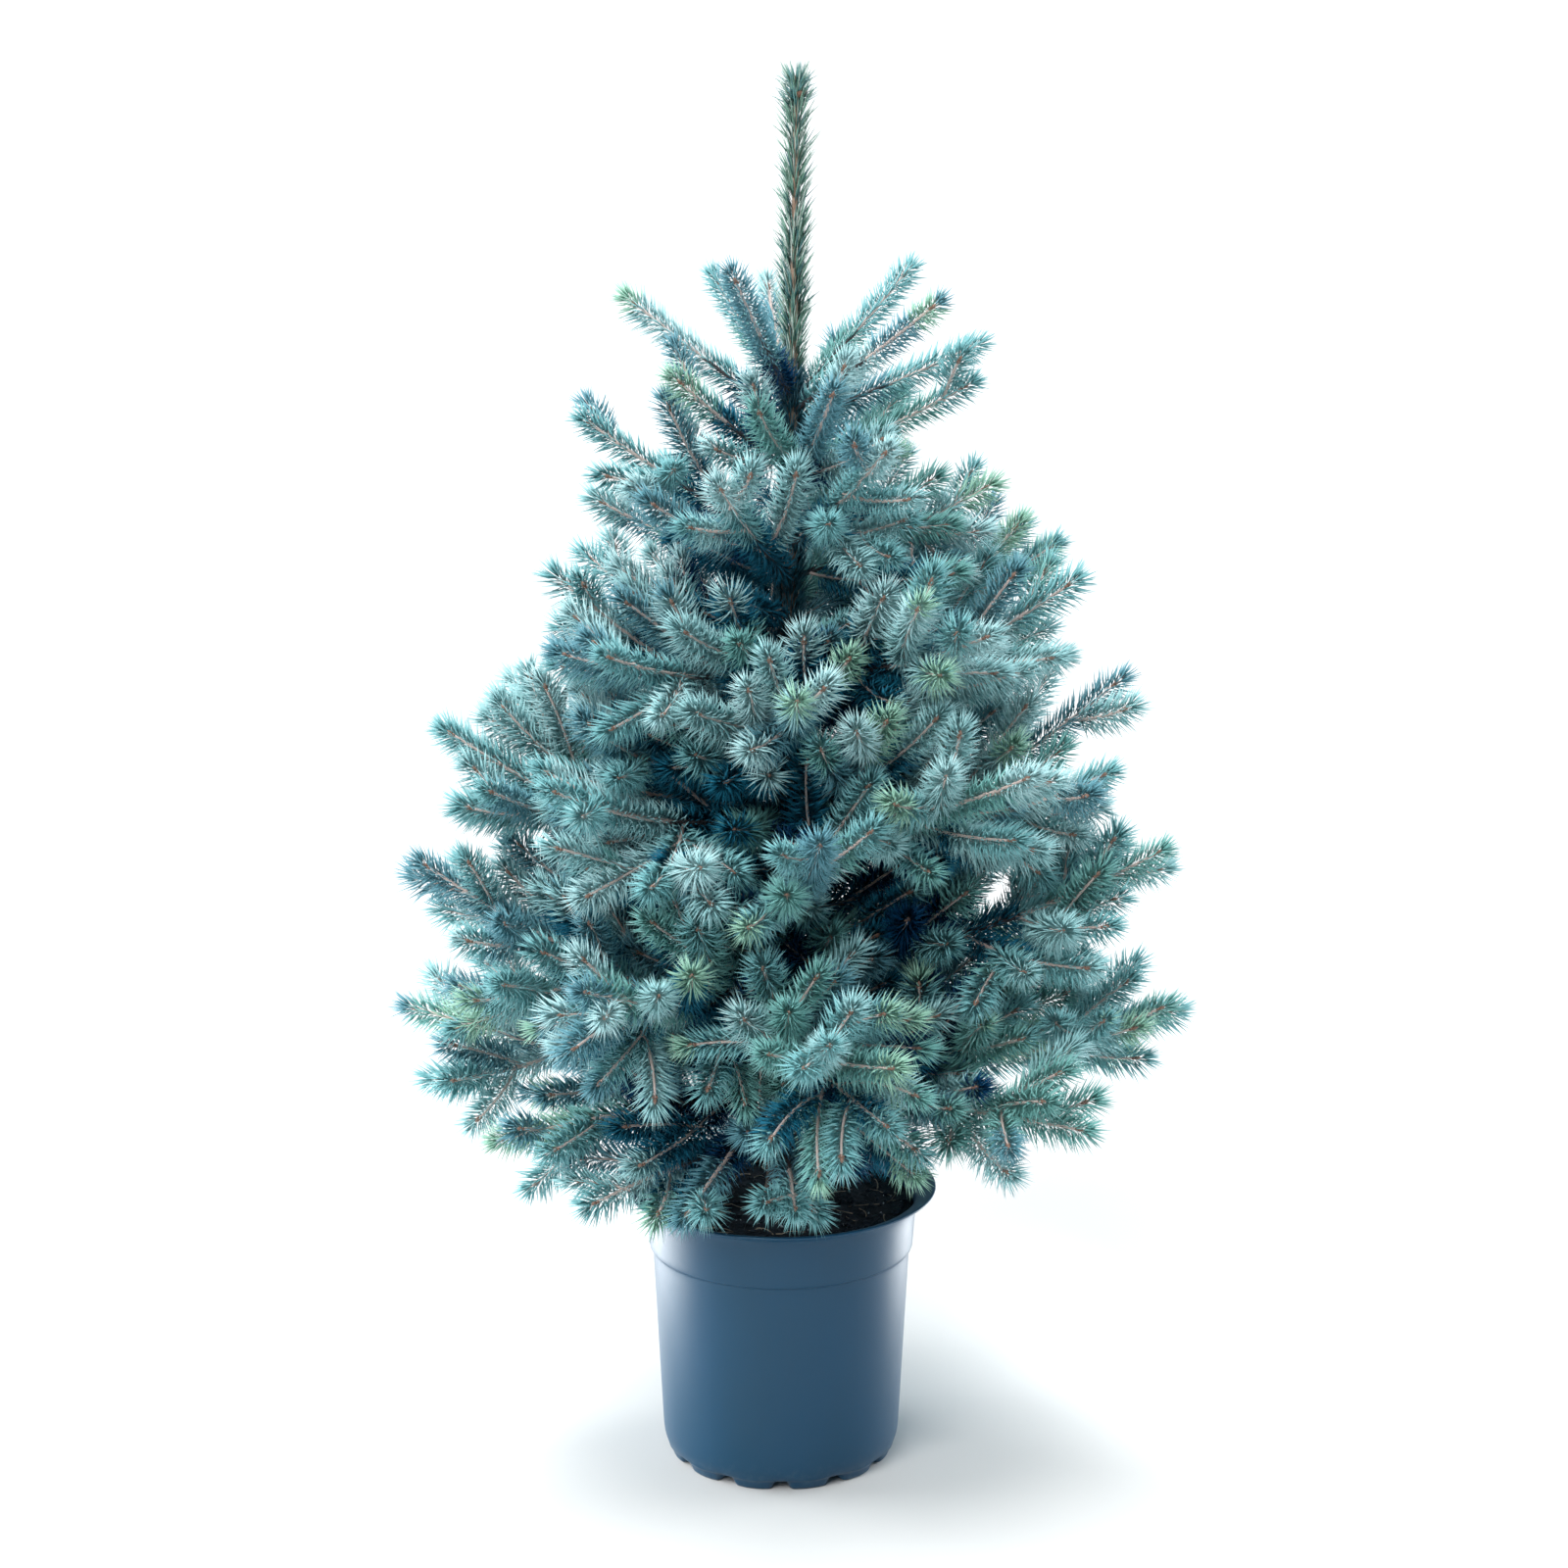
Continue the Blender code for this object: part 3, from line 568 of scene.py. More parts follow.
def soilSpot(draw, reach, clear):
    # A random place on the soil, away from the trunk.
    while True:
        out = reach * math.sqrt(draw.random())
        if out > clear:
            angle = draw.uniform(0.0, 2.0 * math.pi)
            return out * math.cos(angle), out * math.sin(angle)


def fibreMesh(heightAt, draw):
    # A thin bent three-sided strip that lies on the soil, or nothing where there is no room.
    x, y = soilSpot(draw, *soil["fibreRoots"])
    length = draw.uniform(*soil["fibreLength"])
    heading = draw.uniform(0.0, 2.0 * math.pi)
    curl = draw.uniform(-soil["fibreCurl"], soil["fibreCurl"])
    steps = soil["fibreSteps"]
    lift = draw.uniform(0.0, soil["fibreLift"])
    axis = []
    for step in range(steps + 1):
        axis.append((x, y))
        heading += curl / steps
        x += math.cos(heading) * length / steps
        y += math.sin(heading) * length / steps
    nearest, farthest = soil["fibreReach"]
    outs = [math.hypot(*spot) for spot in axis]
    if max(outs) > farthest or min(outs) < nearest:
        return None
    points = []
    for step, (x, y) in enumerate(axis):
        share = step / steps
        width = soil["fibreWidth"] * (1.0 - 0.6 * share)
        z = heightAt(x, y) + 0.0003 + lift * math.sin(math.pi * share)
        after = axis[min(step + 1, steps)]
        before = axis[max(step - 1, 0)]
        turn = math.atan2(after[1] - before[1], after[0] - before[0])
        sideX, sideY = -math.sin(turn), math.cos(turn)
        points += [(x + sideX * width, y + sideY * width, z),
                   (x - sideX * width, y - sideY * width, z), (x, y, z + 1.3 * width)]
    last = 3 * steps
    return points, ringFaces(steps + 1, 3) + [(0, 1, 2), (last, last + 2, last + 1)]


def buildFibres(heightAt, draw):
    for name, colour, count in soil["fibreKinds"]:
        fibres = [fibreMesh(heightAt, draw) for number in range(count)]
        joinMeshes(name, filter(None, fibres), plainMaterial(name, colour, 0.8, 0.3))


lumpPoints = np.array(((1, 0, 0), (0, 1, 0), (-1, 0, 0), (0, -1, 0), (0, 0, 1), (0, 0, -1)), float)
lumpFaces = ((0, 1, 4), (1, 2, 4), (2, 3, 4), (3, 0, 4), (1, 0, 5), (2, 1, 5), (3, 2, 5), (0, 3, 5))


def lumpMesh(heightAt, draw, sizes, reach, clear, flat):
    # A small angular crumb: a squashed, jittered octahedron.
    x, y = soilSpot(draw, reach, clear)
    size = draw.uniform(*sizes)
    turn = draw.uniform(0.0, math.pi)
    shape = lumpPoints * (size, size * draw.uniform(0.35, 0.9), size * flat)
    shape = shape * [[draw.uniform(0.75, 1.2)] for corner in lumpPoints]
    turned = shape.copy()
    turned[:, 0] = shape[:, 0] * math.cos(turn) - shape[:, 1] * math.sin(turn)
    turned[:, 1] = shape[:, 0] * math.sin(turn) + shape[:, 1] * math.cos(turn)
    turned[:, 2] += turned[:, 0] * draw.uniform(-0.4, 0.4)
    return turned + (x, y, heightAt(x, y) + size * flat * 0.3), lumpFaces


def buildGround():
    draw = random.Random(5)
    heightAt = soilHeights(buildSoil())
    buildFibres(heightAt, draw)
    for name, count, sizes, colour, reach, clear, flat in soil["lumps"]:
        lumps = [lumpMesh(heightAt, draw, sizes, reach, clear, flat) for number in range(count)]
        joinMeshes(name, lumps, plainMaterial(name, colour, 0.85, 0.3))
    print("soil built")


buildGround()


# Growth: the same rule as the solids, carried on to finer twigs

growth = {
    "seed": 27,
    "gap": 0.0003,
    "trunkBase": 0.2313,
    "trunkTop": 1.190,
    "treeTop": 1.2055,
    "trunkLean": 0.013,
    "trunkRadii": (
        (0.00, 0.0170), (0.008, 0.0150), (0.025, 0.0132), (0.12, 0.0122), (0.25, 0.0110),
        (0.37, 0.0096), (0.50, 0.0080), (0.62, 0.0063), (0.74, 0.0045), (0.80, 0.0034), (1.00, 0.0020)),
    "boughTipRadius": 0.0032,
    "twigAngle": 50.0,
    "twigRolls": (4, 52, -42, 20, -18),
    "rollJitter": 9,
    "shareJitter": 0.02,
    "twigForward": 0.42,
    "twigLift": 0.16,
    "twigShares": (0.07, 0.82),
    "twigLengths": (0.70, 0.62),
    "shortestTwig": 0.045,
    "twigRadius": 0.0020,
    "cuts": (1.0, 0.82, 0.66, 0.5),
    "shootClearance": 0.024,
    "limbClearance": 0.016,
    "lowestAxis": 0.262,
    "spacing": 0.007,               # between the samples of an axis
    "trunkSamples": 140,
    "boughSamples": 14,
}

# Each whorl's name, bough, height, stagger, sag, root radius, bare share and twigs, then its
# limbs: azimuth, reach and rise of each
whorls = (
    ("top_shoot", None, 0.922, 0.009, 0.010, 0.0022, 0.0, 0, (
        (6, 0.156, 0.054), (40, 0.130, 0.110), (100, 0.124, 0.096), (134, 0.096, 0.106),
        (176, 0.136, 0.093), (246, 0.118, 0.125), (318, 0.156, 0.102))),
    ("upper_shoot", None, 0.862, 0.010, 0.012, 0.0024, 0.0, 2, (
        (66, 0.140, 0.080), (205, 0.106, 0.095), (286, 0.125, 0.095), (352, 0.150, 0.087))),
    ("high_spray", None, 0.795, 0.014, 0.020, 0.0027, 0.0, 4, (
        (16, 0.178, 0.058), (72, 0.190, 0.070), (146, 0.182, 0.028), (186, 0.172, 0.124),
        (250, 0.165, 0.090), (298, 0.165, 0.118))),
    ("middle_spray", None, 0.680, 0.024, 0.050, 0.0032, 0.0, 4, (
        (0, 0.241, 0.100), (32, 0.270, 0.101), (88, 0.245, 0.090), (148, 0.208, 0.102),
        (194, 0.196, 0.112), (230, 0.228, 0.072), (272, 0.215, 0.045), (316, 0.225, 0.085))),
    ("broad_spray", None, 0.550, 0.030, 0.070, 0.0036, 0.0, 5, (
        (8, 0.290, 0.137), (52, 0.290, 0.105), (104, 0.285, 0.125), (155, 0.264, 0.120),
        (184, 0.288, 0.107), (228, 0.280, 0.100), (276, 0.260, 0.070), (314, 0.280, 0.110),
        (345, 0.278, 0.082))),
    ("low_spray", "low_bough", 0.418, 0.024, 0.080, 0.0044, 0.26, 8, (
        (50, 0.320, 0.110), (120, 0.320, 0.135), (186, 0.308, 0.126), (238, 0.300, 0.080),
        (277, 0.300, 0.050), (352, 0.321, 0.140))),
    ("skirt_spray", None, 0.312, 0.018, -0.020, 0.0036, 0.0, 4, (
        (4, 0.343, 0.084), (28, 0.318, 0.088), (74, 0.300, 0.060), (124, 0.300, 0.090),
        (168, 0.336, 0.073), (204, 0.262, 0.010), (222, 0.215, -0.034), (243, 0.180, -0.040),
        (274, 0.160, -0.034), (330, 0.290, 0.032))),
)

finer = {
    "passes": (                     # order grown on, shares of the parent, length share, clearance
        (0, (0.16, 0.30, 0.44, 0.58, 0.70), 0.56, 0.026),
        (1, (0.28, 0.50), 0.64, 0.025),
        (0, (0.08, 0.20, 0.33, 0.47, 0.61), 0.46, 0.023),
        (1, (0.16, 0.36, 0.56, 0.72), 0.56, 0.022),
        (2, (0.22, 0.48), 0.62, 0.022),
    ),
    "radius": 0.0015,
    "cuts": (1.0, 0.86, 0.74, 0.62, 0.5, 0.4),
    "rolls": (10, -26, 40, -8, 26, -44, 60),
    "rollJitter": 10.0,
    "shareJitter": 0.04,
    "lengthJitter": (0.9, 1.2),
    "lengthAdded": 0.02,
    "angle": 44.0,
    "angleJitter": 6.0,
    "forward": 0.42,
    "lift": 0.26,
    "sideLift": 0.08,               # low in the crown
    "frontLift": -0.46,             # low in the crown's front, where twigs hang
    "liftHeights": (0.56, 0.42),
    "front": (0.05, 0.17),          # how far forward that is
    "shortest": 0.056,
    "longest": 0.145,
    "rootSkip": 4,                  # first samples of a twig, which may be near its parent
    "sector": 24.0,                 # degrees either way in which reach is compared
    "band": 0.045,
    "highest": 0.945,               # no finer twigs leave above this height
    "fullBelow": 0.780,             # and all of them do below this one
    "rimRadius": 0.185,             # the pot's rim is left clear within this radius
    "rimHeight": 0.292,             # below this height
    "rightLowest": 0.335,           # and no twig hangs below this at the right
    "rightFrom": 0.115,
    "boxMargin": 0.02,              # room for needles inside the box of the solids
    "reachMargin": 0.004,
}

inner = {                           # short shoots on the trunk itself, between the whorls
    "count": 330,
    "heights": (0.272, 0.935),
    "lengths": (0.070, 0.175),
    "topShare": 0.8,                # of those lengths above the next height
    "topFrom": 0.75,
    "cuts": (1.0, 0.8, 0.62),
    "radius": 0.0016,
    "rise": 0.30,
    "clearance": 0.0160,
    "order": 5,
    "passes": ((5, (0.40, 0.66), 0.60, 0.0200),),
}


def trunkShare(height):
    return (height - growth["trunkBase"]) / (growth["trunkTop"] - growth["trunkBase"])


def trunkCentre(height):
    return Vector((growth["trunkLean"] * trunkShare(height), 0.0, height))


def trunkRadius(height):
    share = clamp(trunkShare(height))
    radii = growth["trunkRadii"]
    for (low, lowRadius), (high, highRadius) in zip(radii, radii[1:]):
        if share <= high:
            return lowRadius + (highRadius - lowRadius) * (share - low) / (high - low)
    return radii[-1][1]


class Limb:
    # One member of a whorl, from the trunk's surface to the tip of its last needles.
    def __init__(self, whorl, index):
        (spray, self.bough, height, stagger, self.sag, self.rootRadius, self.bare, self.twigs,
         members) = whorl
        azimuth, self.reach, rise = members[index]
        step = 0 if len(members) % 2 and index == len(members) - 1 else (-1, 1)[index % 2]
        offset = stagger * step
        self.name = f"{spray}_{index + 1}"
        self.outward = Vector((math.cos(math.radians(azimuth)), math.sin(math.radians(azimuth)), 0.0))
        self.height = height + offset
        self.rise = rise - offset
        self.foot = trunkCentre(self.height)
        self.first = (trunkRadius(self.height - self.rootRadius) + growth["gap"]) / self.reach

    def point(self, t):
        climb = self.rise * t + self.sag * (t * t - t)
        return self.foot + self.outward * (self.reach * t) + up * climb


class Shoot:
    # The axis of one stem or twig as evenly spaced points.
    def __init__(self, mass, order, points, rootRadius):
        self.mass = mass
        self.order = order
        self.points = points
        self.rootRadius = rootRadius
        self.length = sum((b - a).length for a, b in zip(points, points[1:]))

    def at(self, share):
        place = clamp(share) * (len(self.points) - 1)
        index = min(int(place), len(self.points) - 2)
        return self.points[index].lerp(self.points[index + 1], place - index)

    def heading(self, share):
        step = 0.5 / (len(self.points) - 1)
        return (self.at(share + step) - self.at(share - step)).normalized()


def sampleCount(length):
    return max(4, round(length / growth["spacing"]))


def stemShoot(limb, mass):
    start, radius = limb.first, limb.rootRadius
    if limb.bough:
        start = limb.bare + growth["gap"] / limb.reach
        radius = growth["boughTipRadius"]
    count = sampleCount(limb.reach)
    points = [limb.point(start + (1.0 - start) * step / count) for step in range(count + 1)]
    return Shoot(mass, 0, points, radius)


def twigPoints(stem, share, side, roll, length, rule):
    angle, forward, lift = rule
    tangent = stem.heading(share)
    sideways = tangent.cross(up).normalized() * side
    above = sideways.cross(tangent) * side
    outward = sideways * math.cos(roll) + above * math.sin(roll)
    heading = tangent * math.cos(math.radians(angle)) + outward * math.sin(math.radians(angle))
    bend = tangent * forward + up * lift
    bend -= heading * bend.dot(heading)
    start = stem.at(share)
    count = sampleCount(length)
    points = []
    for step in range(count + 1):
        t = step / count
        points.append(start + heading * (length * t) + bend * (0.5 * length * t * t))
    return points


class Space:
    # Every axis placed so far, as arrays.
    def __init__(self):
        self.points = np.zeros((0, 3))
        self.radii = np.zeros(0)
        self.masses = np.zeros(0, int)
        self.shoots = np.zeros(0, int)

    def add(self, points, radius, mass, shoot):
        count = len(points)
        self.points = np.concatenate((self.points, np.array([tuple(point) for point in points])))
        self.radii = np.concatenate((self.radii, np.full(count, radius)))
        self.masses = np.concatenate((self.masses, np.full(count, mass)))
        self.shoots = np.concatenate((self.shoots, np.full(count, shoot)))

    def gaps(self, point):
        return np.linalg.norm(self.points - np.array(tuple(point)), axis=1) - self.radii


limbMass = -1


def twigIsClear(space, points, mass):
    own = space.masses == mass
    limbs = space.masses == limbMass
    others = ~own & ~limbs
    for index, point in enumerate(points):
        gaps = space.gaps(point)
        if (point.z < growth["lowestAxis"] or gaps[others].min() < growth["shootClearance"]
                or gaps[limbs].min() < growth["limbClearance"]):
            return False
        if index > len(points) // 2 and gaps[own].min() < 0.5 * growth["shootClearance"]:
            return False
    return True


def addShoot(space, shoots, mass, order, points, radius):
    space.add(points, 0.0, mass, len(shoots))
    shoots.append(Shoot(mass, order, points, radius))


def growTwigs(limbs, shoots, space, draw):
    # Masses take turns, so that none takes all the room; a twig that finds no room is skipped.
    stems = list(shoots)
    rule = (growth["twigAngle"], growth["twigForward"], growth["twigLift"])
    rolls, rollJitter, shareJitter = growth["twigRolls"], growth["rollJitter"], growth["shareJitter"]
    for turn in range(max(limb.twigs for limb in limbs)):
        for mass, stem in enumerate(stems):
            side = 1 if (turn + mass) % 2 else -1
            roll = math.radians(rolls[turn % len(rolls)] + draw.uniform(-rollJitter, rollJitter))
            jitter = draw.uniform(-shareJitter, shareJitter)
            count = limbs[mass].twigs
            if turn >= count:
                continue
            first, last = growth["twigShares"]
            share = first + (last - first) * turn / max(count - 1, 1) + jitter
            full = (growth["twigLengths"][0] - growth["twigLengths"][1] * share) * stem.length
            for cut in growth["cuts"]:
                length = max(full * cut, growth["shortestTwig"])
                points = twigPoints(stem, share, side, roll, length, rule)
                if twigIsClear(space, points, mass):
                    addShoot(space, shoots, mass, 1, points, growth["twigRadius"])
                    break


def withinReach(tip, reachTable):
    # True where the solids' own axes reach at least as far out near this height and azimuth.
    spots, outs, turns = reachTable
    out = math.hypot(tip.x, tip.y)
    turn = math.atan2(tip.y, tip.x)
    apart = np.abs((turns - turn + math.pi) % (2.0 * math.pi) - math.pi)
    near = (np.abs(spots[:, 2] - tip.z) < finer["band"]) & (apart < math.radians(finer["sector"]))
    return near.any() and out < outs[near].max() + finer["reachMargin"]


def inTheWay(point):
    # Too low, over the pot's rim, hanging at the right, or too near the side of the solids' box.
    edge = finer["boxMargin"]
    return (point.z < growth["lowestAxis"]
            or (point.z < finer["rimHeight"] and point.xy.length < finer["rimRadius"])
            or (point.z < finer["rightLowest"] and point.x > finer["rightFrom"])
            or not cadLow.x + edge < point.x < cadHigh.x - edge
            or not cadLow.y + edge < point.y < cadHigh.y - edge)


def finerIsClear(space, points, parent, clearance, reachTable):
    if not withinReach(points[-1], reachTable):
        return False
    limbs = space.masses == limbMass
    skipped = finer["rootSkip"]
    for index, point in enumerate(points[skipped:], skipped):
        if inTheWay(point):
            return False
        gaps = space.gaps(point)
        near = gaps[space.shoots != parent] if index < len(points) // 2 else gaps
        if gaps[limbs].min() < growth["limbClearance"] or near.min() < clearance:
            return False
    return True


def finerLift(point):
    # Twigs low in the crown rise less, and those low in its front hang.
    high, low = finer["liftHeights"]
    back, fore = finer["front"]
    front = clamp((-point.y - back) / (fore - back))
    lowLift = mix(finer["sideLift"], finer["frontLift"], front)
    return mix(finer["lift"], lowLift, clamp((high - point.z) / (high - low)))


def growFiner(shoots, space, draw, passes):
    outs = np.hypot(space.points[:, 0], space.points[:, 1])
    turns = np.arctan2(space.points[:, 1], space.points[:, 0])
    reachTable = (space.points.copy(), outs, turns)

    def jitter(name):
        return draw.uniform(-finer[name], finer[name])

    for order, shares, lengthShare, clearance in passes:
        for parent in [number for number, shoot in enumerate(shoots) if shoot.order == order]:
            stem = shoots[parent]
            for step, share in enumerate(shares):
                side = 1 if (step + parent) % 2 else -1
                roll = math.radians(draw.choice(finer["rolls"]) + jitter("rollJitter"))
                place = share + jitter("shareJitter")
                root = stem.at(place)
                if draw.random() > (finer["highest"] - root.z) / (finer["highest"] - finer["fullBelow"]):
                    continue
                rule = (finer["angle"] + jitter("angleJitter"), finer["forward"], finerLift(root))
                left = stem.length * (1.15 - place)
                full = left * lengthShare * draw.uniform(*finer["lengthJitter"]) + finer["lengthAdded"]
                full = min(full, finer["longest"])
                for way, cut in [(way, cut) for way in (side, -side) for cut in finer["cuts"]]:
                    length = max(full * cut, finer["shortest"])
                    points = twigPoints(stem, place, way, roll, length, rule)
                    if finerIsClear(space, points, parent, clearance, reachTable):
                        addShoot(space, shoots, stem.mass, order + 1, points, finer["radius"])
                        break


def growInner(shoots, space, draw):
    # Short dark shoots that leave the trunk between its whorls.
    low, high = inner["heights"]
    for number in range(inner["count"]):
        height = low + (high - low) * (number + draw.random()) / inner["count"]
        turn = math.radians(goldenTurn * number)
        outward = Vector((math.cos(turn), math.sin(turn), 0.0))
        foot = trunkCentre(height) + outward * trunkRadius(height)
        topShare = 1.0 if height < inner["topFrom"] else inner["topShare"]
        full = draw.uniform(*inner["lengths"]) * topShare
        for cut in inner["cuts"]:
            length = full * cut
            count = sampleCount(length)
            points = []
            for step in range(count + 1):
                t = step / count
                points.append(foot + outward * (length * t) + up * (length * inner["rise"] * t * t))
            shootGaps = [space.gaps(point)[space.masses != limbMass].min() for point in points[1:]]
            if min(shootGaps) > inner["clearance"]:
                addShoot(space, shoots, 0, inner["order"], points, inner["radius"])
                break
    growFiner(shoots, space, draw, inner["passes"])


def growTree():
    draw = random.Random(growth["seed"])
    limbs = [Limb(whorl, index) for whorl in whorls for index in range(len(whorl[8]))]
    shoots = [stemShoot(limb, mass) for mass, limb in enumerate(limbs)]
    space = Space()
    steps = growth["trunkSamples"]
    for step in range(steps + 1):
        height = growth["trunkBase"] + (growth["trunkTop"] - growth["trunkBase"]) * step / steps
        space.add([trunkCentre(height)], trunkRadius(height), limbMass, -1)
    for limb in limbs:
        if limb.bough:
            steps = growth["boughSamples"]
            points = [limb.point(limb.bare * step / steps) for step in range(steps + 1)]
            space.add(points, limb.rootRadius, limbMass, -1)
    for index, stem in enumerate(shoots):
        space.add(stem.points, 0.0, stem.mass, index)
    growTwigs(limbs, shoots, space, draw)
    coarse = len(shoots)
    growFiner(shoots, space, random.Random(growth["seed"] + 1), finer["passes"])
    growInner(shoots, space, random.Random(growth["seed"] + 3))
    print(f"grown {coarse} shoots of the solids and {len(shoots) - coarse} finer ones,",
          f"{sum(shoot.length for shoot in shoots):.1f} m in all")
    return limbs, shoots


limbs, shoots = growTree()


# Needles, twigs and buds as joined meshes from arrays

needles = {
    "perMetre": 2950.0,
    "length": 0.0275,
    "topLength": 0.0205,            # at the crown's top shoots
    "lengthHeights": (0.74, 1.04),
    "sizeSpread": (0.82, 1.04),     # of a whole twig's needles
    "lengthSpread": (0.84, 1.06),   # of one needle
    "tipLength": 0.84,              # share of the length at a twig's end
    "rootLength": 0.72,             # and at its root
    "rootZone": 0.03,
    "width": 0.00145,
    "widthSpread": (0.86, 1.14),
    "rollSpread": 0.6,              # radians either way round its own axis
    "widest": 0.38,                 # where along its length a needle is widest
    "keel": 0.35,                   # how far its back stands off, in widths
    "angle": 60.0,                  # degrees off the twig, at its middle
    "tipAngle": 34.0,               # and at its end
    "underAngle": 8.0,              # how much more under the twig than over it
    "angleSpread": 5.0,
    "turnSpread": 0.12,
    "bendSpread": 0.07,
    "tipZone": 0.012,
    "curve": 0.38,
    "parting": 13.0,                # degrees either side of straight up with no needles
    "bareRoot": 0.010,
    "tuft": 16,                     # needles round the bud at a twig's end
    "tuftAngles": (8.0, 58.0),
    "tuftDepth": 0.002,
    "spray": 0.025,                 # length of twig that has one tone
    "keepTone": 0.72,               # chance that the next spray keeps it
    "roughness": 0.42,
    "shine": 0.38,
    "shadeShine": 0.15,
    "perPiece": 47000,
}

tones = {                           # base colours, dealt out by spray
    # Silver and pale go mostly to the crown's outside, as painted light
    "needlesSilver": (0.430, 0.680, 0.700),
    "needlesPale": (0.325, 0.590, 0.610),
    "needlesTeal": (0.195, 0.465, 0.490),
    "needlesSlate": (0.125, 0.320, 0.385),
    "needlesSea": (0.180, 0.440, 0.415),
    "needlesLeaf": (0.310, 0.560, 0.440),
    # Painted shade: the two darkest tones are dark needles dealt to sprays inside the crown, where shade
    # falls
    "needlesDeep": (0.012, 0.145, 0.230),
    "needlesNight": (0.001, 0.046, 0.122),
}
toneNames = tuple(tones)

twigs = {
    "endRadius": 0.0011,
    "sunk": 0.004,                  # how far a twig's foot goes into its parent
    "youngSides": 5,
    "oldSides": 6,
    "youngColour": (0.610, 0.480, 0.440),
    # Old bark is darker than young; this colour is darker still as painted shade of the crown's inside
    "oldShadedColour": (0.070, 0.062, 0.066),
    "budColour": (0.260, 0.150, 0.110),
    "budSize": (0.0068, 0.0038),    # length and width
    "sideBudSize": (0.0046, 0.0027),
    "sideBudLean": 0.75,
}

# Painted light and shade: tones go pale on the crown's outside and dark inside it
crown = {                           # the shape by which tones are dealt
    "halfWidth": 0.34,              # up to this height
    "widestAt": 0.42,
    "taper": (0.30, 0.60),          # narrower by the first over the second above it
    "skirt": (0.17, 1.5, 0.26),     # half width at its foot, its growth, and the foot's height
    # Painted shade: the inner share of the crown's width that takes the dark tones, and the share over
    # which it fades to the painted light outside
    "dark": (0.25, 0.5),            # share that is dark, and share over which that fades
    "lowZone": (0.62, 0.3),         # height where a zone begins, and over how much it grows
    "highZone": (0.72, 0.20),
}


def unit(values):
    return values / np.linalg.norm(values, axis=1, keepdims=True)


def acrossOnly(values, axes):
    # What is left of each vector without its part along an axis.
    return values - axes * np.sum(values * axes, axis=1, keepdims=True)


def frames(points):
    # Tangent, side and above at each point of an axis, as arrays.
    spots = np.array([tuple(point) for point in points])
    tangent = unit(np.gradient(spots, axis=0))
    side = np.cross(tangent, up)
    size = np.linalg.norm(side, axis=1, keepdims=True)
    side = np.where(size > 0.05, side / np.maximum(size, 1e-9), (1.0, 0.0, 0.0))
    side = unit(acrossOnly(side, tangent))
    return spots, tangent, side, np.cross(side, tangent)


def along(values, shares):
    # Linear reading of an array of values at shares of its length.
    place = np.clip(shares, 0.0, 1.0) * (len(values) - 1)
    index = np.minimum(place.astype(int), len(values) - 2)
    part = (place - index)[:, None]
    return values[index] * (1.0 - part) + values[index + 1] * part


def needleSet(points, radii, rng, size, start=0.0, sleeve=0.0):
    # Root, direction, bend and length of every needle on one axis. A sleeve's needles lie close,
    # and sleeve is its share of the needles that a twig has.
    spots, tangent, side, above = frames(points)
    length = float(np.sum(np.linalg.norm(np.diff(spots, axis=0), axis=1)))
    count = max(6, int((length - start) * needles["perMetre"] * (sleeve or 1.0)))
    tuft = 0 if sleeve else needles["tuft"]
    travel = start + (length - start) * (np.arange(count) + 0.5) / count
    travel = np.clip(travel + rng.uniform(-0.0004, 0.0004, count), start, length)
    travel = np.concatenate((travel, length - rng.uniform(0.0, needles["tuftDepth"], tuft)))
    shares = travel / length
    ahead = unit(along(tangent, shares))
    turn = np.radians(goldenTurn) * np.arange(count + tuft) + rng.uniform(0.0, 6.28)
    turn += rng.normal(0.0, (leader if sleeve else needles)["turnSpread"], count + tuft)
    turn = (turn + np.pi) % (2.0 * np.pi) - np.pi      # 0 is straight above the twig
    parting = 0.0 if sleeve else np.radians(needles["parting"])
    turn[:count] = (np.sign(turn) * (parting + np.abs(turn) * (1.0 - parting / np.pi)))[:count]
    under = np.abs(turn) / np.pi
    outward = (unit(along(above, shares)) * np.cos(turn)[:, None]
               + unit(along(side, shares)) * np.sin(turn)[:, None])
    left = np.clip((length - travel) / needles["tipZone"], 0.0, 1.0)
    ease = left * left * (3.0 - 2.0 * left)
    if sleeve:
        angle = leader["angle"] + rng.normal(0.0, leader["angleSpread"], count)
        curve = leader["curve"]
    else:
        # Needles under the twig stand off more than those above it
        angle = needles["angle"] + needles["underAngle"] * under
        angle += rng.normal(0.0, needles["angleSpread"], count + tuft)
        angle = mix(needles["tipAngle"], angle, ease)
        angle[count:] = rng.uniform(*needles["tuftAngles"], tuft)
        curve = (needles["curve"] * (1.15 - 0.8 * under))[:, None]
    angle = np.radians(angle)
    direction = ahead * np.cos(angle)[:, None] + outward * np.sin(angle)[:, None]
    bend = ahead * curve + rng.normal(0.0, needles["bendSpread"], direction.shape)
    bend = acrossOnly(bend, direction)
    long = size * mix(needles["tipLength"], 1.0, ease)
    long *= rng.uniform(*needles["lengthSpread"], count + tuft)
    long *= mix(needles["rootLength"], 1.0, np.clip(travel / needles["rootZone"], 0.0, 1.0))
    root = along(spots, shares) + outward * (0.6 * mix(*radii, shares))[:, None]
    return root, direction, bend, long, shares


needlePattern = np.array(((0, 2, 1), (1, 2, 3), (0, 1, 3), (0, 3, 2)))


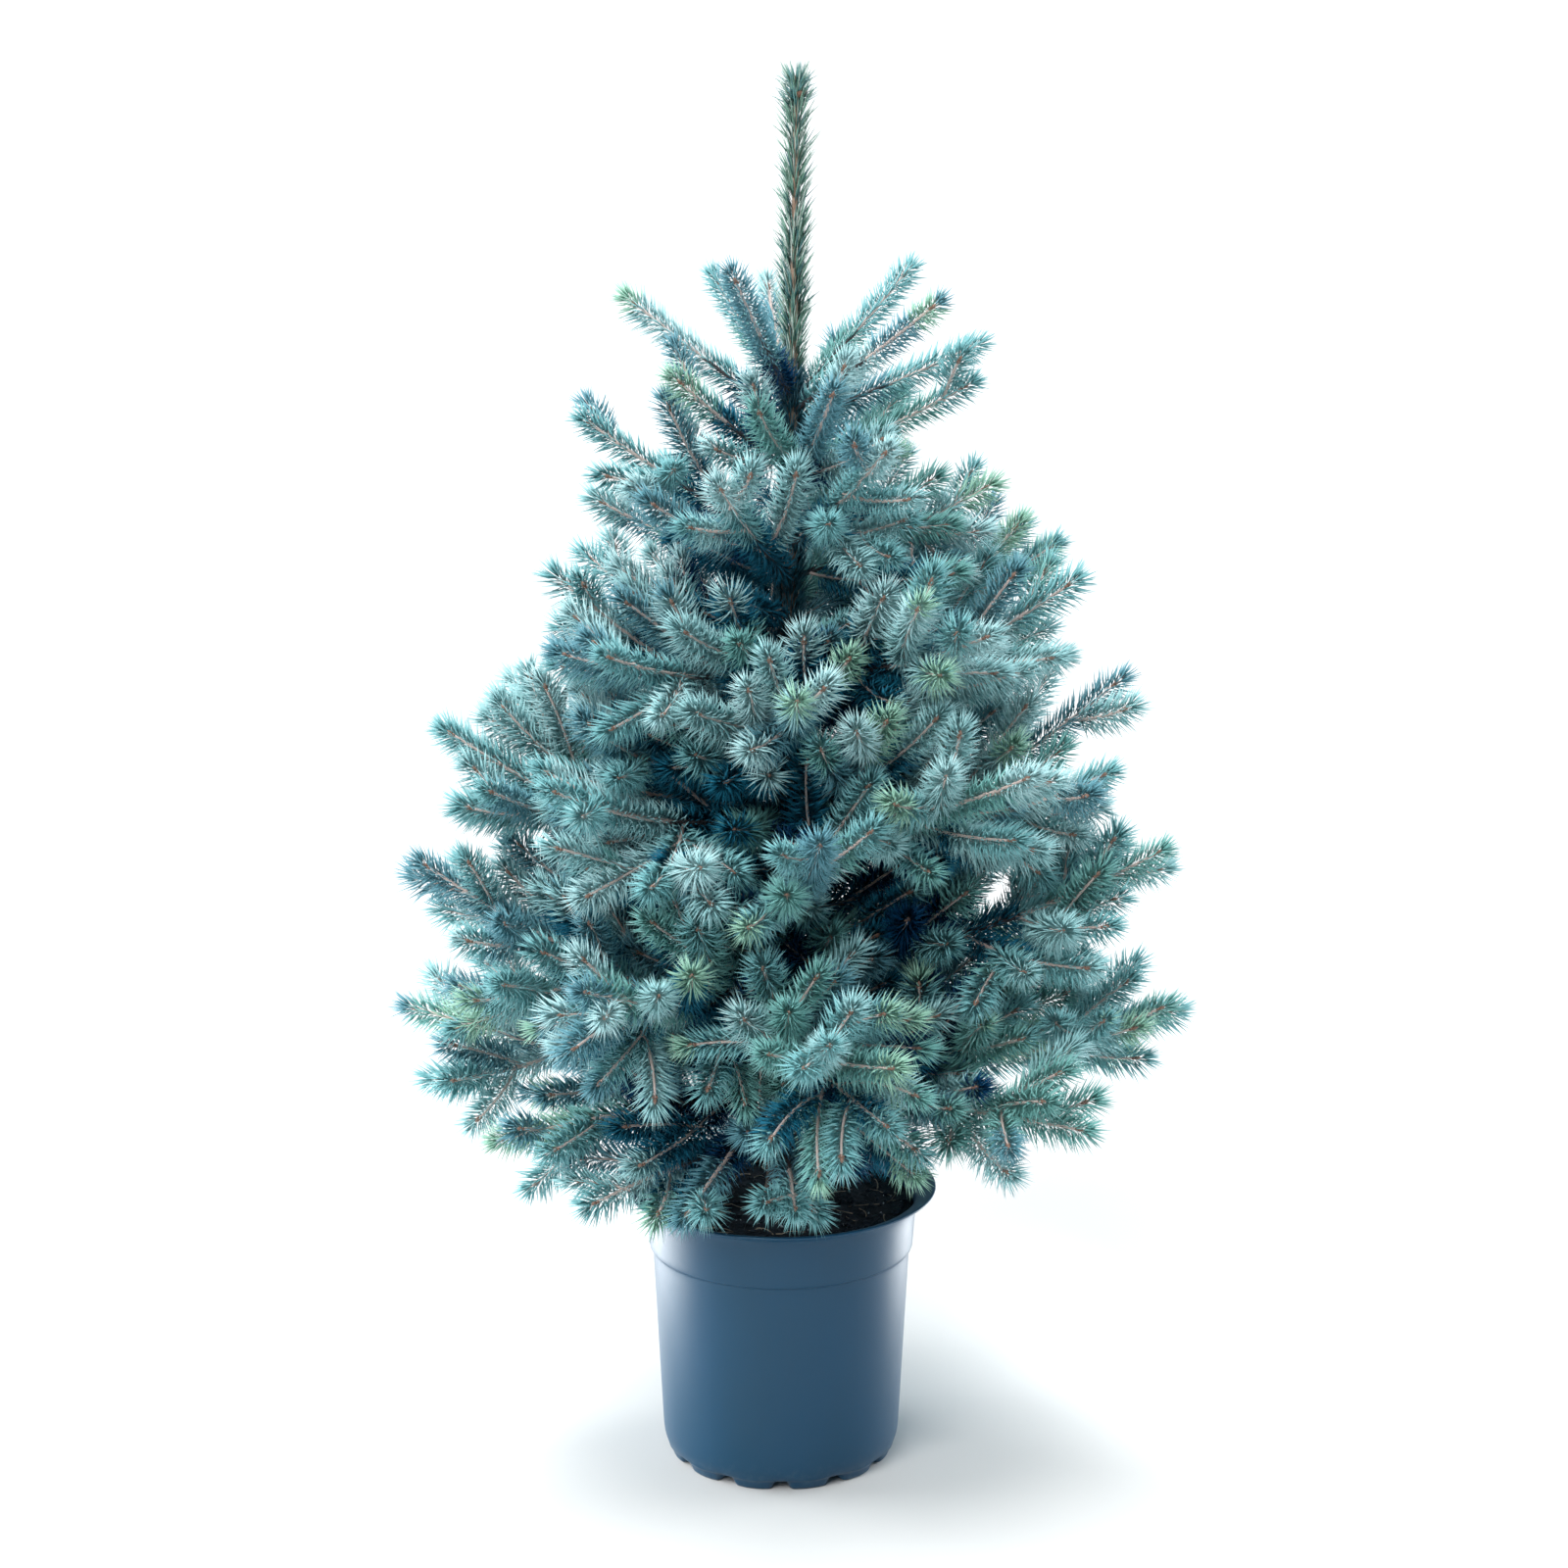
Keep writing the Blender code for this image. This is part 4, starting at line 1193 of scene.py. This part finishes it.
def needleSpots(root, direction, bend, long, rng, widening=1.0):
    # A slim needle of four faces: its root, two corners where it is widest, and its tip.
    count = len(root)
    across = unit(np.cross(direction, bend + np.array((1e-4, 2e-4, 3e-4))))
    back = np.cross(direction, across)
    roll = rng.uniform(-needles["rollSpread"], needles["rollSpread"], count)[:, None]
    across = across * np.cos(roll) + back * np.sin(roll)
    width = (needles["width"] * widening * rng.uniform(*needles["widthSpread"], count))[:, None]
    long = long[:, None]
    widest = needles["widest"]
    centre = root + (direction * widest + bend * (0.5 * widest * widest)) * long
    centre += back * (needles["keel"] * width)
    half = across * (0.5 * width)
    tip = root + (direction + bend * 0.5) * long
    return np.stack((root, centre + half, centre - half, tip), axis=1)


def needlePiece(name, spots, colour, replaced=()):
    # Needles of one tone, in as many pieces as their number asks for.
    # The painted-shade tones, deep and night, shine less
    shine = needles["shadeShine" if name in ("needlesDeep", "needlesNight") else "shine"]
    material = plainMaterial(name, colour, needles["roughness"], shine)
    parts = math.ceil(len(spots) / needles["perPiece"])
    for number, part in enumerate(np.array_split(spots, parts)):
        corners = needlePattern[None] + part.shape[1] * np.arange(len(part))[:, None, None]
        pieceName = name if parts == 1 else f"{name}_{number + 1}"
        thing = meshFromArrays(pieceName, part.reshape(-1, 3), corners.reshape(-1, 3))
        finishPiece(thing, material, replaced if number == 0 else ())
        print(f"{pieceName}: {len(part)} needles, {corners.size // 3} triangles")


def tubeMesh(points, radii, sides):
    # A closed tapering tube along an axis.
    spots, tangent, side, above = frames(points)
    count = len(spots)
    thick = mix(*radii, np.linspace(0.0, 1.0, count))[:, None]
    rows = []
    for column in range(sides):
        angle = 2.0 * math.pi * column / sides
        rows.append(spots + (side * math.cos(angle) + above * math.sin(angle)) * thick)
    grid = np.stack(rows, axis=1).reshape(-1, 3)
    corners = ringFaces(count, sides)
    last = (count - 1) * sides
    for column in range(sides):
        after = (column + 1) % sides
        corners += [(len(grid), column, after), (len(grid) + 1, last + after, last + column)]
    return np.concatenate((grid, spots[:1], spots[-1:])), corners


def budMesh(place, heading, length, width):
    # A pointed bud: two rings of five between two points.
    axis = np.array(tuple(heading))
    reference = np.array((0.0, 0.0, 1.0)) if abs(axis[2]) < 0.9 else np.array((1.0, 0.0, 0.0))
    across = np.cross(axis, reference)
    across /= np.linalg.norm(across)
    over = np.cross(axis, across)
    start = np.array(tuple(place))
    points = [start - axis * 0.1 * length]
    for share, thickness, twist in ((0.18, 0.9, 0.0), (0.50, 1.0, 0.5)):
        for column in range(5):
            angle = 2.0 * math.pi * (column + twist) / 5
            ray = across * math.cos(angle) + over * math.sin(angle)
            points.append(start + axis * (share * length) + ray * (0.5 * width * thickness))
    points.append(start + axis * length)
    corners = []
    for column in range(5):
        after = (column + 1) % 5
        low, lowNext, high, highNext = 1 + column, 1 + after, 6 + column, 6 + after
        corners += [(0, lowNext, low), (low, lowNext, high),
                    (lowNext, highNext, high), (high, highNext, 11)]
    return np.array(points), corners


def toneWeights(place, tipShare):
    # How likely each tone is for a spray at this place: silver and pale outside as painted light, deep and
    # night inside as painted shade.
    x, y, z = place
    narrower, over = crown["taper"]
    skirtHalf, skirtGrowth, skirtFrom = crown["skirt"]
    half = crown["halfWidth"] - narrower * max(z - crown["widestAt"], 0.0) / over
    half = min(half, skirtHalf + skirtGrowth * max(z - skirtFrom, 0.0))
    depth = clamp(math.hypot(x, y) / max(half, 0.05))
    shadeShare, fade = crown["dark"]
    lit = clamp((depth - shadeShare) / fade)
    right = clamp(0.5 + x / 0.4)
    low = clamp((crown["lowZone"][0] - z) / crown["lowZone"][1])
    high = clamp((z - crown["highZone"][0]) / crown["highZone"][1])
    green = right * (0.3 + 0.7 * low)
    # Silver and pale follow lit, painted light on the crown's outside; deep and night follow the unlit
    # share, painted shade inside
    return (
        lit * (1.1 - green) * (0.5 + tipShare) * (1.0 - 0.4 * high - 0.6 * low),    # silver
        lit * (1.3 - 0.5 * low),                           # pale
        0.3 + lit,                                         # teal
        0.5 + 0.5 * lit * (1.0 - right) + 0.9 * high,      # slate
        0.2 + 1.3 * green,                                 # sea
        lit * (0.35 + green) * 2.2 * (tipShare > 0.7),     # leaf
        2.2 * (1.0 - lit),                                 # deep
        1.4 * (1.0 - lit) ** 2,                            # night
    )


def dealTones(shoot, spots, shares, draw, dealt):
    # Each spray takes its own tone, often its neighbour's.
    sprays = np.minimum((shares * shoot.length / needles["spray"]).astype(int), 40)
    favourite = None
    for spray in np.unique(sprays):
        chosen = np.flatnonzero(sprays == spray)
        middle = float(shares[chosen].mean())
        weights = toneWeights(shoot.at(middle), middle)
        tone = draw.choices(toneNames, weights)[0]
        if (favourite and draw.random() < needles["keepTone"]
                and weights[toneNames.index(favourite)] > 0.3):
            tone = favourite
        favourite = tone
        dealt[tone].append(spots[chosen])


def twigTubes(shoot, young, old):
    # A twig's bark. The masses' own stems are old, darker bark in their first half, made darker still as
    # painted shade of the crown's inside.
    first, last = shoot.rootRadius, twigs["endRadius"]
    sunk = [shoot.points[0] - shoot.heading(0.0) * twigs["sunk"]] + shoot.points[:-1]
    if shoot.order:
        young.append(tubeMesh(sunk, (first, last), twigs["youngSides"]))
        return
    middle = len(shoot.points) // 2
    half = 0.5 * (first + last)
    old.append(tubeMesh(sunk[:middle + 2], (first, half), twigs["oldSides"]))
    young.append(tubeMesh(sunk[middle:], (half * 0.97, last), twigs["youngSides"]))


def twigBuds(shoot):
    # One bud at a twig's end and a smaller one on each side of it.
    tip, ahead = shoot.points[-2], shoot.heading(1.0)
    side = ahead.cross(up).normalized()
    buds = [budMesh(tip - ahead * 0.001, ahead, *twigs["budSize"])]
    for way in (-1.0, 1.0):
        lean = (ahead + side * (twigs["sideBudLean"] * way)).normalized()
        buds.append(budMesh(tip - ahead * 0.003, lean, *twigs["sideBudSize"]))
    return buds


def buildFoliage():
    rng = np.random.default_rng(growth["seed"])
    draw = random.Random(growth["seed"] + 2)
    dealt = {name: [] for name in tones}
    young, old, buds = [], [], []
    total = 0
    low, high = needles["lengthHeights"]
    for shoot in shoots:
        climb = clamp((shoot.at(0.5).z - low) / (high - low))
        size = mix(needles["length"], needles["topLength"], climb) * draw.uniform(*needles["sizeSpread"])
        *places, shares = needleSet(shoot.points, (shoot.rootRadius, twigs["endRadius"]), rng, size,
                                    start=needles["bareRoot"])
        total += len(shares)
        dealTones(shoot, needleSpots(*places, rng), shares, draw, dealt)
        twigTubes(shoot, young, old)
        buds += twigBuds(shoot)
    for tone, colour in tones.items():
        replaced = [limb.name for limb in limbs] if tone == "needlesTeal" else ()
        needlePiece(tone, np.concatenate(dealt[tone]), colour, replaced)
    joinMeshes("youngTwigs", young, plainMaterial("youngBark", twigs["youngColour"], 0.7, 0.3))
    joinMeshes("oldTwigs", old, plainMaterial("oldBark", twigs["oldShadedColour"], 0.85, 0.2))
    joinMeshes("buds", buds, plainMaterial("budScales", twigs["budColour"], 0.5, 0.4))
    print(f"{total} needles on {len(shoots)} shoots")


buildFoliage()


# Trunk and leader

leader = {
    "foot": 0.950,
    "trunkFoot": 0.460,
    "samples": 60,
    "stemShare": 1.2,               # the sleeve's own stem, in radii of the trunk
    "density": 1.70,                # share of the needles that a twig has
    "trunkDensity": 2.6,
    "widening": 0.95,
    "angle": 31.0,
    "angleSpread": 10.0,
    "turnSpread": 0.9,
    "curve": 0.10,
    "needle": 0.0290,
    "trunkNeedle": 0.0230,
    "overTop": 0.004,               # how far needles may stand over the solids' top
    "thinning": 0.30,
    "thinFrom": 0.45,
    "thinZone": 0.15,
    "tuft": 110,
    "tuftNeedle": 0.0250,
    "tuftSpread": (0.8, 1.05),
    "tuftLean": (10.0, 72.0),
    "tuftDepth": 0.022,
    "sideBuds": 4,
    "budDrop": 0.013,
    "budSize": (0.010, 0.006),      # length and width
    "sideBudSize": (0.0095, 0.0055),
    "budColour": (0.190, 0.095, 0.065),
    "kinds": (                      # name, share, colour
        ("leaderNeedles", 0.52, (0.125, 0.255, 0.195)),
        ("leaderPaleNeedles", 0.24, (0.400, 0.480, 0.430)),
        ("leaderShadeNeedles", 0.24, (0.035, 0.120, 0.125)),
    ),
    "tuftColour": (0.085, 0.225, 0.225),
    # Painted shade: the needles on the trunk inside the crown are near-black navy
    "trunkShadeColour": (0.012, 0.080, 0.110),
}

bark = {
    "sides": 5,                     # bevel resolution of the round section
    "sunk": 0.006,                  # how far the trunk's foot goes into the soil
    "trunkSteps": 260,
    "boughSteps": 26,
    "boughEnd": 0.03,               # how far a bough goes on inside its spray
    "relief": 0.0011,
    "boughRelief": 0.7,             # share of it on the boughs
    "reliefSize": 0.006,
    "darkColour": (0.045, 0.032, 0.030),
    "paleColour": (0.150, 0.105, 0.085),
    "mottle": (110.0, 0.35, 0.65, (1.0, 1.0, 0.45)),        # scale, low, high, stretch
    "youngColour": (0.330, 0.215, 0.160),
    "youngPale": (0.470, 0.340, 0.260),
    "youngMottle": (160.0, 0.35, 0.65, (1.0, 1.0, 0.25)),
    "youngHeights": (0.70, 0.98),
    "bump": 0.0006,
}


def buildBarkMaterial():
    material = plainMaterial("trunkBark", bark["darkColour"], 0.9, 0.2)
    tree = material.node_tree
    old = addMottle(tree, bark["darkColour"], bark["paleColour"], *bark["mottle"])
    young = addMottle(tree, bark["youngColour"], bark["youngPale"], *bark["youngMottle"])
    height = addHeightMask(tree, *bark["youngHeights"])
    mixed = addBlend(tree, height.outputs["Result"], old.outputs["Colour"], young.outputs["Colour"])
    tree.links.new(mixed, tree.nodes["Principled BSDF"].inputs["Base Color"])
    addBump(tree, old, bark["bump"])
    return material


def barkPiece(name, centres, radii, relief, material, replaced):
    # A tapering limb: a round curve made a mesh, then roughened.
    line = bpy.data.curves.new(name, "CURVE")
    line.dimensions = "3D"
    line.bevel_depth = 1.0
    line.bevel_resolution = bark["sides"]
    line.use_fill_caps = True
    spline = line.splines.new("POLY")
    spline.points.add(len(centres) - 1)
    for point, centre, radius in zip(spline.points, centres, radii):
        point.co = (*centre, 1.0)
        point.radius = radius
    limb = bpy.data.objects.new(name, line)
    bpy.context.scene.collection.objects.link(limb)
    activate(limb)
    bpy.ops.object.convert(target="MESH")
    setMode("EDIT")
    bpy.ops.mesh.select_all(action="SELECT")
    bpy.ops.mesh.remove_doubles(threshold=0.00001)
    turnOutward()
    limb = bpy.context.object
    addRelief(limb, bark["reliefSize"], relief)
    bpy.ops.object.shade_smooth()
    finishPiece(limb, material, (replaced,))


def buildTrunk():
    material = buildBarkMaterial()
    base, top = growth["trunkBase"] - bark["sunk"], growth["trunkTop"]
    steps = bark["trunkSteps"]
    heights = [base + (top - base) * step / steps for step in range(steps + 1)]
    barkPiece("trunkBark", [trunkCentre(height) for height in heights],
              [trunkRadius(height) for height in heights], bark["relief"], material, "trunk")
    steps = bark["boughSteps"]
    for limb in limbs:
        if not limb.bough:
            continue
        index = limb.name.rsplit("_", 1)[1]
        start, last = limb.first * 0.2, limb.bare + bark["boughEnd"]
        shares = [start + (last - start) * step / steps for step in range(steps + 1)]
        radii = [mix(limb.rootRadius, growth["boughTipRadius"], min(share / limb.bare, 1.0))
                 for share in shares]
        barkPiece(f"boughBark_{index}", [limb.point(share) for share in shares], radii,
                  bark["relief"] * bark["boughRelief"], material, f"{limb.bough}_{index}")
    print("trunk built")


def sleeve(low, high, size, density, rng):
    points = [trunkCentre(height) for height in np.linspace(low, high, leader["samples"])]
    radii = [trunkRadius(height) * leader["stemShare"] for height in (low, high)]
    return needleSet(points, radii, rng, size, sleeve=density)


def leaderTuft(tip, rng):
    # Needles that stand up over the leader's buds.
    count = leader["tuft"]
    turn = np.radians(goldenTurn) * np.arange(count)
    lean = np.radians(rng.uniform(*leader["tuftLean"], count))
    direction = np.stack((np.sin(lean) * np.cos(turn), np.sin(lean) * np.sin(turn), np.cos(lean)), axis=1)
    root = np.tile(np.array(tuple(tip)), (count, 1))
    root[:, 2] -= rng.uniform(0.0, leader["tuftDepth"], count)
    long = leader["tuftNeedle"] * rng.uniform(*leader["tuftSpread"], count)
    long = np.minimum(long, (growth["treeTop"] + leader["overTop"] - root[:, 2]) / direction[:, 2])
    bend = np.zeros((count, 3)) + (0.0, 0.0, leader["curve"])
    return needleSpots(root, direction, acrossOnly(bend, direction), long, rng)


def buildLeader():
    # Needles close to the leader and down the trunk below it, buds, and a tuft over them.
    rng = np.random.default_rng(7)
    foot, top = leader["foot"], growth["trunkTop"]
    *places, shares = sleeve(foot, top, leader["needle"], leader["density"], rng)
    spots = needleSpots(*places, rng, leader["widening"])
    spots[:, :, 2] = np.minimum(spots[:, :, 2], growth["treeTop"] + leader["overTop"])
    thin = leader["thinning"] * np.clip((shares - leader["thinFrom"]) / leader["thinZone"], 0.0, 1.0)
    spots = spots[rng.random(len(spots)) > thin]           # the stem shows through higher up
    names, weights, colours = zip(*leader["kinds"])
    tone = rng.choice(len(names), len(spots), p=weights)
    for number, (name, colour) in enumerate(zip(names, colours)):
        replaced = ("leader_needles",) if number == 0 else ()
        needlePiece(name, spots[tone == number], colour, replaced)
    # Needles down the trunk inside the crown, dark as painted shade
    *places, shares = sleeve(leader["trunkFoot"], foot, leader["trunkNeedle"], leader["trunkDensity"], rng)
    needlePiece("trunkNeedles", needleSpots(*places, rng), leader["trunkShadeColour"])
    tip = trunkCentre(top)
    needlePiece("leaderTuft", leaderTuft(tip, rng), leader["tuftColour"])

    buds = [budMesh(tip - up * 0.002, up, *leader["budSize"])]
    for turn in range(leader["sideBuds"]):
        angle = turn * 2.0 * math.pi / leader["sideBuds"] + 0.4
        lean = Vector((math.cos(angle) * 0.8, math.sin(angle) * 0.8, 0.6)).normalized()
        place = trunkCentre(top - leader["budDrop"]) + lean * 0.003
        buds.append(budMesh(place, lean, *leader["sideBudSize"]))
    joinMeshes("leaderBuds", buds, plainMaterial("leaderBuds", leader["budColour"], 0.5, 0.4))
    print("leader built")


buildTrunk()
buildLeader()

print("done")
